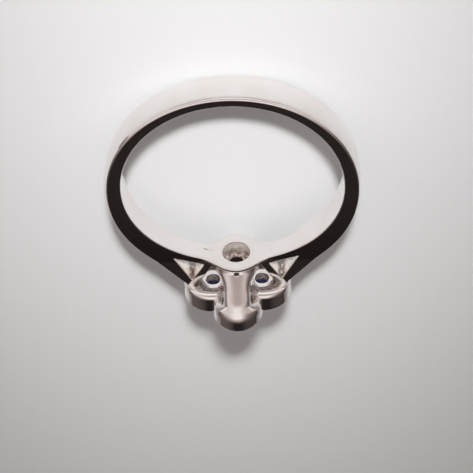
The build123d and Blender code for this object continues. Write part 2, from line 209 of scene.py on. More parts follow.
@dataclass(frozen=True)
class Shank:
    """Half-round band and forked shoulders, with their windows."""

    finger_radius: float = 8.65
    half_width: float = 1.375
    half_neck: float = 0.78
    taper_start: float = 1.0
    bottom_edge_wall: float = 0.75
    side_edge_wall: float = 1.15
    bottom_crown_wall: float = 1.15
    side_crown_wall: float = 1.25
    shoulder_angle: float = 41.0
    shoulder_reach: float = 10.34
    shoulder_crown: float = 0.12
    arch_wall_outer: float = 0.92
    arch_wall_inner: float = 0.74
    window_outer_angle: float = 58.7
    window_inner_angle: float = 74.1
    arm_wall: float = 0.56
    window_tip_inset: float = 0.69
    strut_wall: float = 0.62
    window_corner: float = 0.1
    outer_edge: float = 0.13
    inner_edge: float = 0.11
    window_edge: float = 0.06
    crown_limit: float = 1.5

    def outline(self, x: Array, z: Array, bottom: float, side: float, reach: float) -> Array:
        """Distance to one outline of the shank and shoulders in the front view.

        Args:
            x: Distance from the middle, never negative.
            z: Height.
            bottom: Wall at the back of the finger.
            side: Wall at the sides of the finger.
            reach: Finger centre to the straight shoulder's outer line.

        Returns:
            Distance to the outline.
        """
        radius = self.finger_radius + side
        lift = side - bottom
        turn = math.radians(self.shoulder_angle)
        shift = (reach - radius - lift * math.sin(turn)) / (1 - math.cos(turn))
        low = np.hypot(x, z - lift) - radius
        high = np.hypot(x + shift, z - lift) - (radius + shift)
        straight = x * math.cos(turn) + z * math.sin(turn) - reach
        past = np.arctan2(z - lift, x + shift) > turn
        return np.where(z < lift, low, np.where(past, straight, high))

    def outside(self, x: Array, y: Array, z: Array, wall_x: float) -> Array:
        """Distance to the crowned outer surface, with the shoulders running into the head's side wall.

        Args:
            x: Across the finger.
            y: Along the finger.
            z: Height.
            wall_x: Where the head's side wall stands.

        Returns:
            Distance to the outer surface.
        """
        edge = self.outline(x, z, self.bottom_edge_wall, self.side_edge_wall, self.shoulder_reach)
        crown_reach = self.shoulder_reach + self.shoulder_crown
        crown = self.outline(x, z, self.bottom_crown_wall, self.side_crown_wall, crown_reach)
        share = np.minimum((y / self.half_width) ** 2, self.crown_limit)
        surface = share * edge + (1 - share) * crown
        return np.minimum(surface, np.maximum(x - wall_x, -z))

    def half_span(self, z: Array) -> Array:
        """Half of the band's width at a height: full round the finger, narrowing to the neck.

        Args:
            z: Height.

        Returns:
            Half of the width, in millimetres.
        """
        rise = self.finger_radius - self.taper_start
        drop = self.half_width - self.half_neck
        radius = (rise**2 + drop**2) / (2 * drop)
        climb = np.clip(z - self.taper_start, 0.0, rise)
        return self.half_width - (radius - np.sqrt(radius**2 - climb**2))

    def window_corners(self, side_reach: float) -> list[Pair]:
        """Corners of the right shoulder window in the front view: outer, tip and inner.

        Args:
            side_reach: Head's middle to the outside of a side lobe.

        Returns:
            Three corners, anticlockwise.
        """
        turn = math.radians(self.shoulder_angle)
        outer_radius = self.finger_radius + self.arch_wall_outer
        inner_radius = self.finger_radius + self.arch_wall_inner
        outer_turn, inner_turn = math.radians(self.window_outer_angle), math.radians(self.window_inner_angle)
        tip_x = side_reach - self.window_tip_inset
        tip_z = (self.shoulder_reach - self.arm_wall - tip_x * math.cos(turn)) / math.sin(turn)
        outer = (outer_radius * math.cos(outer_turn), outer_radius * math.sin(outer_turn))
        inner = (inner_radius * math.cos(inner_turn), inner_radius * math.sin(inner_turn))
        return [outer, (tip_x, tip_z), inner]

    def window(self, x: Array, z: Array, side_reach: float) -> Array:
        """Distance to the three-cornered window."""
        return convex_outline(x, z, self.window_corners(side_reach), self.window_corner)

    def bore(self, x: Array, z: Array) -> Array:
        """Distance to the finger hole."""
        return np.hypot(x, z) - self.finger_radius


@dataclass(frozen=True)
class Collar:
    """Pierced collar inside the band, with the tapered boss under its seam."""

    radius: float = 1.97
    face: float = 8.43
    thickness: float = 0.18
    seam_depth: float = 0.07
    seam_half_width: float = 0.045
    foot_radius: float = 1.14
    foot_drop: float = 2.5
    hole_radius: float = 1.1
    hole_depth: float = 1.1
    centre_hole_radius: float = 0.58
    centre_hole_depth: float = 3.1
    vent_radius: float = 0.3
    plan_blend: float = 1.1
    face_blend: float = 0.12
    hole_edge: float = 0.06
    foot_fillet: float = 0.3
    line_share: float = 0.85

    @property
    def seam(self) -> float:
        """Height of the fine line between the collar and the boss."""
        return self.face + self.thickness

    def groove(self, z: Array) -> Array:
        """Depth of the fine line at each height."""
        return self.seam_depth * np.exp(-(((z - self.seam) / self.seam_half_width) ** 2))

    def boss(self, rho: Array, z: Array, foot: float) -> Array:
        """Distance to the collar disc and the boss turned about the head's axis.

        Args:
            rho: Distance from the head's axis.
            z: Height.
            foot: Height where the boss ends inside the head.

        Returns:
            Distance to the turned shape.
        """
        slope = (self.radius - self.foot_radius) / (self.foot_drop - self.thickness)
        cone = (rho - self.radius + (z - self.seam) * slope) / math.hypot(1.0, slope)
        disc = rho - self.radius
        stem = round_union(np.maximum(disc, cone), rho - self.foot_radius, self.foot_fillet)
        return np.maximum(np.maximum(stem + self.groove(z), -z), z - foot)

    def finger_space(self, bore: Array, z: Array) -> Array:
        """Distance to the finger hole, with the collar's flat face standing out into it."""
        return smooth_max(bore, z - self.face, self.face_blend)

    def plate(self, x: Array, rho: Array, width: Array, z: Array) -> Array:
        """Distance to the thin plate where the band widens into the collar.

        Args:
            x: Across the finger.
            rho: Distance from the head's axis.
            width: Distance beyond the band's side.
            z: Height.

        Returns:
            Distance to the plate.
        """
        plan = round_union(rho - self.radius, width, self.plan_blend)
        plan = np.maximum(plan, x - self.radius - self.plan_blend)
        line_end = self.seam_half_width - self.radius * self.line_share
        plan = plan + self.groove(z) * soft_step(-x, -self.radius, line_end)
        return np.maximum(np.maximum(plan, -z), z - self.seam - self.seam_half_width)

    def drill(self, solid: Array, rho: Array, z: Array, top: float) -> Array:
        """The solid with the stepped light hole drilled through the collar.

        Args:
            solid: Distance to the solid.
            rho: Distance from the head's axis.
            z: Height.
            top: Height where the narrow vent ends.

        Returns:
            Distance to what is left.
        """
        wide = np.maximum(rho - self.hole_radius, z - self.face - self.hole_depth)
        narrow = np.maximum(rho - self.centre_hole_radius, z - self.face - self.centre_hole_depth)
        vent = np.maximum(rho - self.vent_radius, z - top)
        wide, narrow, vent = (np.maximum(tool, -z) for tool in (wide, narrow, vent))
        for tool in (wide, narrow, vent):
            solid = round_cut(solid, tool, self.hole_edge)
        return solid


@dataclass(frozen=True)
class Head:
    """Four-lobed cup, the leaning columns under it and the seats of the side stones."""

    stones: Stones = field(default_factory=Stones)
    side_lobe_wall: float = 0.8
    side_lobe_shift: float = 0.1
    end_lobe_wall: float = 0.55
    end_lobe_shift: float = 0.04
    rim_rounding: float = 0.08
    cup_height: float = 1.8
    side_shoulder: float = 0.55
    end_shoulder: float = 0.9
    arm_inset: float = 0.5
    cup_wall: float = 0.58
    groove_depth: float = 0.9
    seat_ring_radius: float = 1.0
    seat_ring_depth: float = 0.32
    side_hole_radius: float = 0.56
    foot_sink: float = 0.15
    notch_fillet: float = 0.05
    lip_rounding: float = 0.17
    ring_edge: float = 0.08
    column_radius: float = 1.08
    column_foot_rise: float = 1.5
    column_foot_radius: float = 1.25
    column_proud: float = 0.08
    column_fillet: float = 0.3
    foot_bend: float = 0.75
    widening_before: float = 0.8
    widening_past: float = 0.3
    throat_drop: float = 1.05
    throat_blend: float = 0.4
    claw_root: float = 0.35

    @property
    def side_radius(self) -> float:
        """Radius of a side lobe."""
        return self.stones.diameter / 2 + self.side_lobe_wall

    @property
    def side_offset(self) -> float:
        """Head's middle to a side lobe's middle."""
        return self.stones.side_offset + self.side_lobe_shift

    @property
    def end_radius(self) -> float:
        """Radius of a front or back lobe."""
        return self.stones.diameter / 2 + self.end_lobe_wall

    @property
    def end_offset(self) -> float:
        """Head's middle to a front or back lobe's middle."""
        return self.stones.end_offset + self.end_lobe_shift

    @property
    def side_reach(self) -> float:
        """Head's middle to the outside of a side lobe."""
        return self.side_offset + self.side_radius

    @property
    def end_reach(self) -> float:
        """Head's middle to the outside of a front or back lobe."""
        return self.end_offset + self.end_radius

    @property
    def cup_top(self) -> float:
        """Height of the top of the cup's wall."""
        return self.stones.rim - self.cup_height

    @property
    def groove_floor(self) -> float:
        """Height of the floor of the groove inside the cup."""
        return self.cup_top + self.groove_depth

    @property
    def foot(self) -> float:
        """Height where struts, boss and columns end inside the head."""
        return self.groove_floor + self.foot_sink

    @property
    def ring_top(self) -> float:
        """Height of the flat ring round a side stone's light hole."""
        return self.cup_top + self.seat_ring_depth

    def lobes(self, x: Array, y: Array, inset: float) -> tuple[Array, Array]:
        """Distances to the side lobe and the end lobe in plan, each made smaller by an inset.

        Args:
            x: Across the finger.
            y: Along the finger.
            inset: How much smaller each lobe is made.

        Returns:
            Distances to the side lobe and to the end lobe.
        """
        side = np.hypot(x - self.side_offset, y) - self.side_radius + inset
        end = np.hypot(x, y - self.end_offset) - self.end_radius + inset
        return side, end

    def core_radius(self) -> float:
        """Radius of the round middle of the groove, kept inside the notches between the lobes.

        Returns:
            The radius, in millimetres.
        """
        dx, dy = self.side_offset, self.end_offset
        apart = math.hypot(dx, dy)
        along = (apart**2 + self.side_radius**2 - self.end_radius**2) / (2 * apart)
        aside = math.sqrt(self.side_radius**2 - along**2)
        x = dx - dx / apart * along + dy / apart * aside
        y = dy / apart * along + dx / apart * aside
        return math.hypot(x, y) - self.cup_wall

    def cup(self, x: Array, y: Array, z: Array, rod: Array) -> Array:
        """Distance to the lobed cup with its groove and the side seats' flat rings.

        Args:
            x: Across the finger.
            y: Along the finger.
            z: Height.
            rod: Distance to the column that runs into the end lobe.

        Returns:
            Distance to the cup.
        """
        side, end = self.lobes(x, y, 0.0)
        side_lobe = round_meet(side, self.cup_top - z, self.side_shoulder)
        end_lobe = round_meet(end, self.cup_top - z, self.end_shoulder)
        end_lobe = round_union(end_lobe, rod, self.column_fillet)
        side_lobe, end_lobe = (
            round_meet(lobe, z - self.stones.rim, self.rim_rounding) for lobe in (side_lobe, end_lobe)
        )
        solid = round_union(side_lobe, end_lobe, self.notch_fillet)
        side, end = self.lobes(x, y, self.cup_wall)
        core = np.hypot(x, y) - self.core_radius()
        groove = np.maximum(np.minimum(np.minimum(side, end), core), z - self.groove_floor)
        at_side = np.hypot(x - self.stones.side_offset, y)
        ring = np.maximum(at_side - self.seat_ring_radius, self.ring_top - z)
        groove = np.maximum(round_cut(groove, ring, self.ring_edge), -rod)
        return round_cut(solid, groove, self.lip_rounding)

    def rod(self, x: Array, y: Array, z: Array, collar: Collar) -> Array:
        """Distance to the two leaning columns and the web between them.

        Each starts as wide as the collar and narrows past it. Its front is one straight line that ends just
        outside the end lobe, where the column widens again.

        Args:
            x: Across the finger.
            y: Along the finger.
            z: Height.
            collar: The collar that the columns start under.

        Returns:
            Distance to the columns.
        """
        top = collar.face + collar.thickness + collar.seam_half_width
        foot = self.stones.rim - self.column_foot_rise
        reach = self.end_reach + self.column_proud
        line = collar.radius + (z - top) * (reach - collar.radius) / (foot - top)
        front = -smooth_max(-line, np.full(z.shape, -reach), self.foot_bend)
        narrowing = collar.radius + (self.column_radius - collar.radius) * (z - top) / self.throat_drop
        radius = smooth_max(narrowing, np.full(z.shape, self.column_radius), self.throat_blend)
        widening = soft_step(z, foot - self.widening_before, foot + self.widening_past)
        radius = np.minimum(radius, collar.radius)
        radius = radius + (self.column_foot_radius - self.column_radius) * widening
        rod = np.hypot(x, np.maximum(y - front + radius, 0.0)) - radius
        return np.maximum(rod, top - z)

    def post(self, rho: Array, z: Array) -> Array:
        """Distance to the post under the centre stone.

        Args:
            rho: Distance from the head's axis.
            z: Height.

        Returns:
            Distance to the post.
        """
        radius = self.stones.centre_diameter / 2 + self.stones.gap
        top = self.stones.rim + self.stones.centre_rise
        return np.maximum(np.maximum(rho - radius, z - top), self.stones.rim - self.claw_root - z)

    def side_holes(self, x: Array, y: Array, z: Array) -> Array:
        """Distance to the light holes of the side stones."""
        bore = np.hypot(x - self.stones.side_offset, y) - self.side_hole_radius
        return np.maximum(np.maximum(bore, z - self.groove_floor), self.ring_top - self.cup_wall - z)


@dataclass(frozen=True)
class Mark:
    """A small dent or scratch from wear: a stretched hollow in the metal.

    Sizes are in millimetres in the upright ring's frame. Its last weight paints it dark: brown residue
    towards its edge and near-black painted shade in its core.
    """

    place: Triple
    along: Triple
    half_length: float
    half_width: float
    depth: float
    dirt_and_shade: float

    def widened(self, margin: float) -> "Mark":
        """The same mark, larger all round."""
        return replace(self, half_length=self.half_length + margin, half_width=self.half_width + margin)

    def weight(self, points: Array) -> Array:
        """How deep in the mark each point lies, from 0 to 1.

        Args:
            points: Three rows of coordinates.

        Returns:
            Weight of each point.
        """
        direction = np.array(self.along) / np.linalg.norm(self.along)
        offset = points - np.array(self.place)[:, None]
        length = direction @ offset
        aside = np.sum(offset**2, axis=0) - length**2
        return np.exp(-((length / self.half_length) ** 2) - aside / self.half_width**2)


WEAR = (
    # The last number of each mark paints it dark: brown residue at its edge, near-black painted shade in its
    # core.
    # The pit under the collar and the dashes beside it.
    Mark((-0.01, -2.13, 8.81), (1.0, 0.0, 0.1), 0.2, 0.14, 0.1, 1.0),
    Mark((2.42, 0.26, 8.3), (-0.31, -0.02, 0.09), 0.19, 0.035, 0.04, 0.9),
    Mark((2.0, 0.23, 8.385), (-0.4, -0.07, 0.05), 0.2, 0.025, 0.02, 0.4),
    Mark((-2.73, -0.05, 8.21), (-0.32, -0.11, -0.11), 0.12, 0.03, 0.015, 0.2),
    # The long nick on the band's edge, in three parts.
    Mark((8.14, -1.21, -5.17), (-0.57, 0.0, -0.82), 0.62, 0.05, 0.05, 1.0),
    Mark((8.45, -1.23, -4.66), (-0.52, 0.0, -0.85), 0.2, 0.05, 0.03, 0.9),
    Mark((7.85, -1.22, -5.55), (-0.59, 0.0, -0.81), 0.2, 0.045, 0.03, 0.8),
    # The scratch on the other side of the band.
    Mark((-9.6, 0.04, -2.3), (-0.21, -0.48, 0.83), 0.5, 0.045, 0.05, 0.9),
    # The pits at the side stones.
    Mark((3.18, -1.3, 11.3), (1.0, 0.0, 0.0), 0.07, 0.07, 0.05, 0.9),
    Mark((-3.2, -1.29, 11.3), (1.0, 0.0, 0.0), 0.07, 0.07, 0.05, 0.9),
)
"""Dents, scratches and pits of wear."""


@dataclass
class SurfaceNet:
    """Turns a distance field into a closed mesh on a grid that runs round the finger.

    The grid's axes are the angle above the side, the distance from the finger axis and the place along the
    finger. The field is the same on the left and right and on the front and back, so it is read on one
    quarter only.
    """

    angles: Array
    radii: Array
    depths: Array

    def quarter_values(self, read: Field) -> Array:
        """The field on the right front quarter of the grid.

        Args:
            read: The distance field, given points as an array of three rows.

        Returns:
            Values by angle, radius and depth.
        """
        slabs = []
        for angle in np.radians(self.angles):
            radius, depth = np.meshgrid(self.radii, self.depths, indexing="ij")
            points = np.stack([radius * math.cos(angle), depth, radius * math.sin(angle)])
            slabs.append(read(points.reshape(3, -1)).reshape(radius.shape))
        return np.stack(slabs).astype(np.float32)

    def whole_grid(self, quarter: Array) -> tuple[Array, Array, Array]:
        """Mirrors the quarter to the whole ring.

        Args:
            quarter: Values on the right front quarter.

        Returns:
            The values with the first slab repeated at the end, the angles and the depths of the whole grid.
        """
        front = np.concatenate([quarter[:, :, :0:-1], quarter], axis=2)
        depths = np.concatenate([-self.depths[:0:-1], self.depths])
        values = np.concatenate([front, front[-2:0:-1], front[:1]], axis=0)
        angles = np.concatenate([self.angles, 180.0 - self.angles[-2:0:-1], self.angles[:1] + 360.0])
        return values, angles, depths

    def build(self, read: Field) -> tuple[Array, Array]:
        """Points and four-sided faces of the surface.

        Args:
            read: The distance field.

        Returns:
            Points as rows of three coordinates, and faces as rows of four point numbers.
        """
        values, angles, depths = self.whole_grid(self.quarter_values(read))
        inside = values < 0.0
        turns, rings, rows = (size - 1 for size in inside.shape)
        count = np.zeros((turns, rings, rows), np.uint8)
        corners = [(i, j, k) for i in (0, 1) for j in (0, 1) for k in (0, 1)]
        for i, j, k in corners:
            count += inside[i : turns + i, j : rings + j, k : rows + k]
        cells = np.argwhere((count > 0) & (count < 8))
        number = np.full(count.shape, -1, np.int32)
        number[tuple(cells.T)] = np.arange(len(cells))
        points = self.cell_points(values, cells, angles, depths)
        faces = [self.axis_faces(inside, number, axis) for axis in range(3)]
        return points, np.concatenate(faces)

    def cell_points(self, values: Array, cells: Array, angles: Array, depths: Array) -> Array:
        """One point in each cell that the surface passes through: the mean of its crossings.

        Args:
            values: Values on the whole grid.
            cells: Grid place of each cell.
            angles: Angle of each slab, in degrees.
            depths: Place of each layer along the finger.

        Returns:
            Points as rows of three coordinates.
        """
        total = np.zeros((len(cells), 3))
        crossings = np.zeros(len(cells))
        for axis in range(3):
            others = [other for other in range(3) if other != axis]
            for first in (0, 1):
                for second in (0, 1):
                    start = np.zeros(3, int)
                    start[others[0]], start[others[1]] = first, second
                    step = np.zeros(3, int)
                    step[axis] = 1
                    low = values[tuple((cells + start).T)]
                    high = values[tuple((cells + start + step).T)]
                    crossed = (low < 0) != (high < 0)
                    share = np.where(crossed, low / np.where(crossed, low - high, 1.0), 0.0)
                    total[crossed] += (start + share[:, None] * step)[crossed]
                    crossings += crossed
        place = cells + total / crossings[:, None]
        angle = np.radians(np.interp(place[:, 0], np.arange(len(angles)), angles))
        radius = np.interp(place[:, 1], np.arange(len(self.radii)), self.radii)
        depth = np.interp(place[:, 2], np.arange(len(depths)), depths)
        return np.stack([radius * np.cos(angle), depth, radius * np.sin(angle)], axis=1)

    def axis_faces(self, inside: Array, number: Array, axis: int) -> Array:
        """Faces across the grid lines along one axis that pass through the surface.

        Args:
            inside: Which grid points are in the metal.
            number: Point number of each cell.
            axis: The axis that the grid lines run along.

        Returns:
            Faces as rows of four point numbers, turned the same way out.
        """
        low = [slice(None)] * 3
        high = [slice(None)] * 3
        low[axis], high[axis] = slice(None, -1), slice(1, None)
        first, second = (other for other in range(3) if other != axis)
        changed = inside[tuple(low)] != inside[tuple(high)]
        if axis != 0:
            changed[-1] = False
        lines = np.argwhere(changed)
        leaving = inside[tuple(lines.T)]
        ring = []
        for back_first, back_second in ((1, 1), (0, 1), (0, 0), (1, 0)):
            cell = lines.copy()
            cell[:, first] -= back_first
            cell[:, second] -= back_second
            cell[:, 0] %= number.shape[0]
            ring.append(number[tuple(cell.T)])
        faces = np.stack(ring, axis=1)
        flipped = leaving if axis == 1 else ~leaving
        faces[flipped] = faces[flipped][:, ::-1]
        return faces


@dataclass
class Casting:
    """The soldered white-gold mount, polished outside and left rougher where a wheel can't reach."""

    shank: Shank = field(default_factory=Shank)
    collar: Collar = field(default_factory=Collar)
    head: Head = field(default_factory=Head)
    marks: list[Mark] = field(default_factory=lambda: list(WEAR))
    head_share: float = 0.6
    arm_fillet: float = 0.1
    least_fillet: float = 0.02
    boss_fillet: float = 0.3
    opening_share: float = 0.7
    cast_lump: float = 0.03
    cast_scale: float = 0.16
    wave: float = 0.0008
    wave_scale: float = 0.32
    wall_skin: Pair = (-0.07, -0.02)
    wall_edge: Pair = (0.05, 0.2)
    hole_cast: float = 0.75
    hole_skin: Pair = (0.05, 0.15)
    hole_skin_margin: float = 0.06
    hole_skin_fade: float = 0.05
    groove_edge: Pair = (-0.08, 0.1)
    groove_dirt: Pair = (0.06, 0.24)
    # Brown residue at the mouth of the collar's hole turns into brown painted shade deeper in, and into
    # near-black painted shade in its narrow centre hole and in the marks' cores.
    hole_stain: float = 0.4
    hole_dirt: Pair = (0.06, 0.2)
    hole_stain_and_shade_margin: float = 0.03
    painted_shade_rise: float = 0.45
    centre_painted_shade: Pair = (0.0, 0.15)
    centre_painted_shade_margin: float = 0.04
    foot_residue_and_shade_margin: float = 0.1
    # Pushes the weight past 1, into near-black painted shade.
    deep_painted_shade: float = 2.2
    tip_dirt: Pair = (-0.8, -0.25)
    tip_edge: Pair = (0.08, 0.2)
    mark_dirt_and_shade: Pair = (0.12, 0.5)
    mark_margin: float = 0.06
    mark_weight: float = 0.05
    mark_edge: float = 0.035
    mark_rounds: int = 3
    seam_aside: float = 0.12
    seam_above: float = 0.7
    seam_fade: float = 0.05
    slope_step: float = 0.004
    longest_move: float = 0.06
    least_slope: float = 0.05
    angle_runs: tuple[tuple[float, float, int], ...] = ((-90.0, 38.0, 160), (38.0, 56.0, 44))
    last_run: tuple[float, float, int] = (56.0, 90.0, 162)
    radius_run: tuple[float, float, int] = (8.33, 13.75, 132)
    depth_run: tuple[float, float, int] = (0.0, 4.48, 109)
    first_rounds: int = 3
    even_rounds: int = 2
    last_rounds: int = 2
    triangles: int = 182000

    def at_head(self, z: Array) -> Array:
        """Which heights are near the head."""
        return z > self.shank.finger_radius * self.head_share

    def body(self, points: Array) -> Array:
        """Distance to the mount without its marks of wear.

        Args:
            points: Three rows of coordinates.

        Returns:
            Distance of each point.
        """
        x, y, z = folded(points)
        rho = np.hypot(x, y)
        head, collar, shank = self.head, self.collar, self.shank
        width = y - shank.half_span(z)
        outer = shank.outside(x, y, z, head.side_reach - head.arm_inset)
        band = round_meet(outer, width, shank.outer_edge)
        band = np.maximum(band, z - head.foot)
        band = np.minimum(band, collar.plate(x, rho, width, z))
        near_head = self.at_head(z)
        if near_head.any():
            local = [part[near_head] for part in (x, y, z, rho, band)]
            band[near_head] = self.with_head(*local)
        solid = round_cut(band, collar.finger_space(shank.bore(x, z), z), shank.inner_edge)
        return collar.drill(solid, rho, z, head.stones.rim)

    def with_head(self, x: Array, y: Array, z: Array, rho: Array, band: Array) -> Array:
        """Joins the band with the collar, columns and cup, and cuts the windows, seats and holes.

        Args:
            x: Across the finger, folded to the right.
            y: Along the finger, folded to one side.
            z: Height.
            rho: Distance from the head's axis.
            band: Distance to the band alone.

        Returns:
            Distance to the whole mount.
        """
        head, collar, shank = self.head, self.collar, self.shank
        band = round_cut(band, shank.window(x, z, head.side_reach), shank.window_edge)
        band = round_cut(band, self.side_opening(x, z), shank.window_edge)
        boss = collar.boss(rho, z, head.foot)
        rod = head.rod(x, y, z, collar)
        middle = round_union(boss, np.maximum(rod, z - head.foot), self.boss_fillet)
        cup = np.minimum(head.cup(x, y, z, rod), middle)
        side, end = head.lobes(x, y, 0.0)
        room = np.clip(-np.minimum(side, end), self.least_fillet, self.arm_fillet)
        solid = round_union(cup, band, room)
        solid = np.minimum(solid, head.post(rho, z))
        solid = round_cut(solid, head.stones.seats(x, y, z), head.ring_edge)
        return round_cut(solid, head.side_holes(x, y, z), collar.hole_edge)

    def side_opening(self, x: Array, z: Array) -> Array:
        """Distance to the head's side opening between the strut and the columns.

        Args:
            x: Across the finger.
            z: Height.

        Returns:
            Distance to the opening.
        """
        shank, head, collar = self.shank, self.head, self.collar
        _, tip, inner = shank.window_corners(head.side_reach)
        run = math.hypot(tip[0] - inner[0], tip[1] - inner[1])
        ux, uz = (tip[0] - inner[0]) / run, (tip[1] - inner[1]) / run
        start = (inner[0] - uz * shank.strut_wall, inner[1] + ux * shank.strut_wall)
        high = shank.finger_radius + shank.arch_wall_inner * self.opening_share
        low = head.foot + shank.window_corner
        top = (start[0] + ux * (high - start[1]) / uz, high)
        foot = (start[0] + ux * (low - start[1]) / uz, low)
        inner_top = (head.column_radius, collar.face + collar.foot_drop)
        corners = [top, foot, (head.column_radius, low), inner_top]
        return convex_outline(x, z, corners, shank.window_corner)

    def lumps(self, points: Array, scale: float) -> Array:
        """Uneven relief of a given scale, between -1 and 1.

        Args:
            points: Three rows of coordinates.
            scale: Size of the lumps, in millimetres.

        Returns:
            Relief at each point.
        """
        u, v, w = points / scale
        first = np.sin(u + 1.7 * np.sin(0.7 * v + 1.1)) * np.sin(1.3 * v + 2.0) * np.sin(0.9 * w + 0.6 * u)
        second = np.sin(2.3 * v - 1.9 * w + 0.8) * np.sin(2.1 * u + 1.4 * w)
        return 0.6 * first + 0.4 * second

    def cast_skin(self, points: Array) -> Array:
        """Share of raw cast skin at each point: inside the windows and openings.

        Args:
            points: Three rows of coordinates.

        Returns:
            Share at each point, from 0 to 1.
        """
        x, y, z = folded(points)
        window = self.shank.window(x, z, self.head.side_reach)
        opening = self.side_opening(x, z)
        on_wall = soft_step(-np.minimum(np.abs(window), np.abs(opening)), *self.wall_skin)
        clear_of_faces = soft_step(self.shank.half_span(z) - y, *self.wall_edge)
        rho, collar = np.hypot(x, y), self.collar
        in_hole = soft_step(collar.hole_radius + self.hole_skin_margin - rho, 0.0, self.hole_skin_fade)
        in_hole = in_hole * soft_rise(z, collar.face, self.hole_skin) * (z < self.head.foot)
        return np.maximum(on_wall * clear_of_faces, self.hole_cast * in_hole) * self.at_head(z)

    def residue_and_shade(self, points: Array) -> Array:
        """Share of brown polishing residue in the groove, the collar's hole and the marks, and of painted
        shade: brown deeper in the collar's hole, near black in its centre hole and in the marks' cores.

        Args:
            points: Three rows of coordinates.

        Returns:
            Weight at each point: brown up to 1, and near-black painted shade above it.
        """
        x, y, z = folded(points)
        head, collar = self.head, self.collar
        side, end = head.lobes(x, y, head.cup_wall)
        in_plan = soft_step(-np.minimum(side, end), *self.groove_edge)
        in_groove = in_plan * soft_rise(z, head.ring_top, self.groove_dirt)
        rho = np.hypot(x, y)
        floor = collar.face + collar.hole_depth
        # Brown residue at the mouth of the collar's hole, then brown painted shade growing fuller deeper
        # into it.
        stain_and_shade = self.hole_stain * soft_rise(z, collar.face, self.hole_dirt)
        stain_and_shade = stain_and_shade + (1.0 - self.hole_stain) * soft_step(z, collar.face + self.painted_shade_rise, floor)
        # Near-black painted shade in the narrow centre hole past the wide hole's floor.
        in_centre = rho < collar.centre_hole_radius + self.centre_painted_shade_margin
        in_centre = in_centre * soft_rise(z, floor, self.centre_painted_shade)
        stain_and_shade = np.maximum(stain_and_shade, self.deep_painted_shade * in_centre)
        in_hole = (rho < collar.hole_radius + self.hole_stain_and_shade_margin) * (z < head.foot) * stain_and_shade
        above_head = (z < head.foot + self.foot_residue_and_shade_margin) & (z > collar.face)
        total = np.maximum(np.maximum(in_groove, in_hole) * above_head, self.window_tip(x, y, z))
        # Marks: brown residue towards the edge, near-black painted shade in the core.
        for mark in self.marks:
            in_mark = soft_step(mark.weight(points), *self.mark_dirt_and_shade)
            total = np.maximum(total, self.deep_painted_shade * mark.dirt_and_shade * in_mark)
        return total

    def seam_line(self, points: Array) -> Array:
        """Share of the fine dark line between the collar and the boss.

        Args:
            points: Three rows of coordinates.

        Returns:
            Share at each point, from 0 to 1.
        """
        rho, z = np.hypot(points[0], points[1]), points[2]
        beside = np.abs(rho - self.collar.radius) < self.seam_aside
        near = beside & (z < self.collar.face + self.seam_above)
        return np.where(near, np.exp(-(((z - self.collar.seam) / self.seam_fade) ** 2)), 0.0)

    def window_tip(self, x: Array, y: Array, z: Array) -> Array:
        """Residue left in the sharp tip of a shoulder window.

        Args:
            x: Across the finger.
            y: Along the finger.
            z: Height.

        Returns:
            Share at each point, from 0 to 1.
        """
        tip_x, tip_z = self.shank.window_corners(self.head.side_reach)[1]
        near = soft_step(-np.hypot(x - tip_x, z - tip_z), *self.tip_dirt)
        in_window = soft_step(-np.abs(self.shank.window(x, z, self.head.side_reach)), *self.wall_skin)
        return near * in_window * soft_step(self.shank.half_span(z) - y, *self.tip_edge)

    def surface(self, points: Array) -> Array:
        """Distance to the finished mount, with its marks, its slightly wavy polish and its raw skin.

        Args:
            points: Three rows of coordinates.

        Returns:
            Distance of each point.
        """
        distance = self.body(points)
        for mark in self.marks:
            distance = distance + mark.depth * mark.weight(points)
        distance = distance + self.wave * self.lumps(points, self.wave_scale)
        return distance + self.cast_lump * self.cast_skin(points) * self.lumps(points, self.cast_scale)

    def slope(self, points: Array) -> Array:
        """Direction in which the distance grows fastest, from small steps each way.

        Args:
            points: Three rows of coordinates.

        Returns:
            Three rows of directions.
        """
        step = self.slope_step
        parts = []
        for axis in range(3):
            shift = np.zeros((3, 1))
            shift[axis] = step
            parts.append((self.surface(points + shift) - self.surface(points - shift)) / (2 * step))
        return np.stack(parts)

    def settle(self, points: Array, rounds: int) -> Array:
        """Moves points onto the surface.

        Args:
            points: Three rows of coordinates.
            rounds: How many times they are moved.

        Returns:
            The moved points.
        """
        for _ in range(rounds):
            slope = self.slope(points)
            move = self.surface(points) * slope / np.maximum(np.sum(slope**2, axis=0), self.least_slope)
            length = np.maximum(np.linalg.norm(move, axis=0), 1e-9)
            points = points - move * np.minimum(1.0, self.longest_move / length)
        return points

    def even_out(self, points: Array, faces: Array) -> Array:
        """Draws each point halfway to the mean of its neighbours, which evens out the faces.

        Args:
            points: Three rows of coordinates.
            faces: Rows of point numbers.

        Returns:
            The moved points.
        """
        starts = faces.ravel()
        ends = np.roll(faces, -1, axis=1).ravel()
        both = np.concatenate([starts, ends]), np.concatenate([ends, starts])
        count = np.bincount(both[0], minlength=points.shape[1])
        mean = np.stack([
            np.bincount(both[0], weights=row[both[1]], minlength=points.shape[1]) / count for row in points
        ])
        return points + 0.5 * (mean - points)

    def grid(self) -> SurfaceNet:
        """Grid round the finger, fine at the head.

        Returns:
            The surface net on that grid.
        """
        runs = [np.linspace(*run, endpoint=False) for run in self.angle_runs]
        angles = np.concatenate([*runs, np.linspace(*self.last_run)])
        return SurfaceNet(angles, np.linspace(*self.radius_run), np.linspace(*self.depth_run))

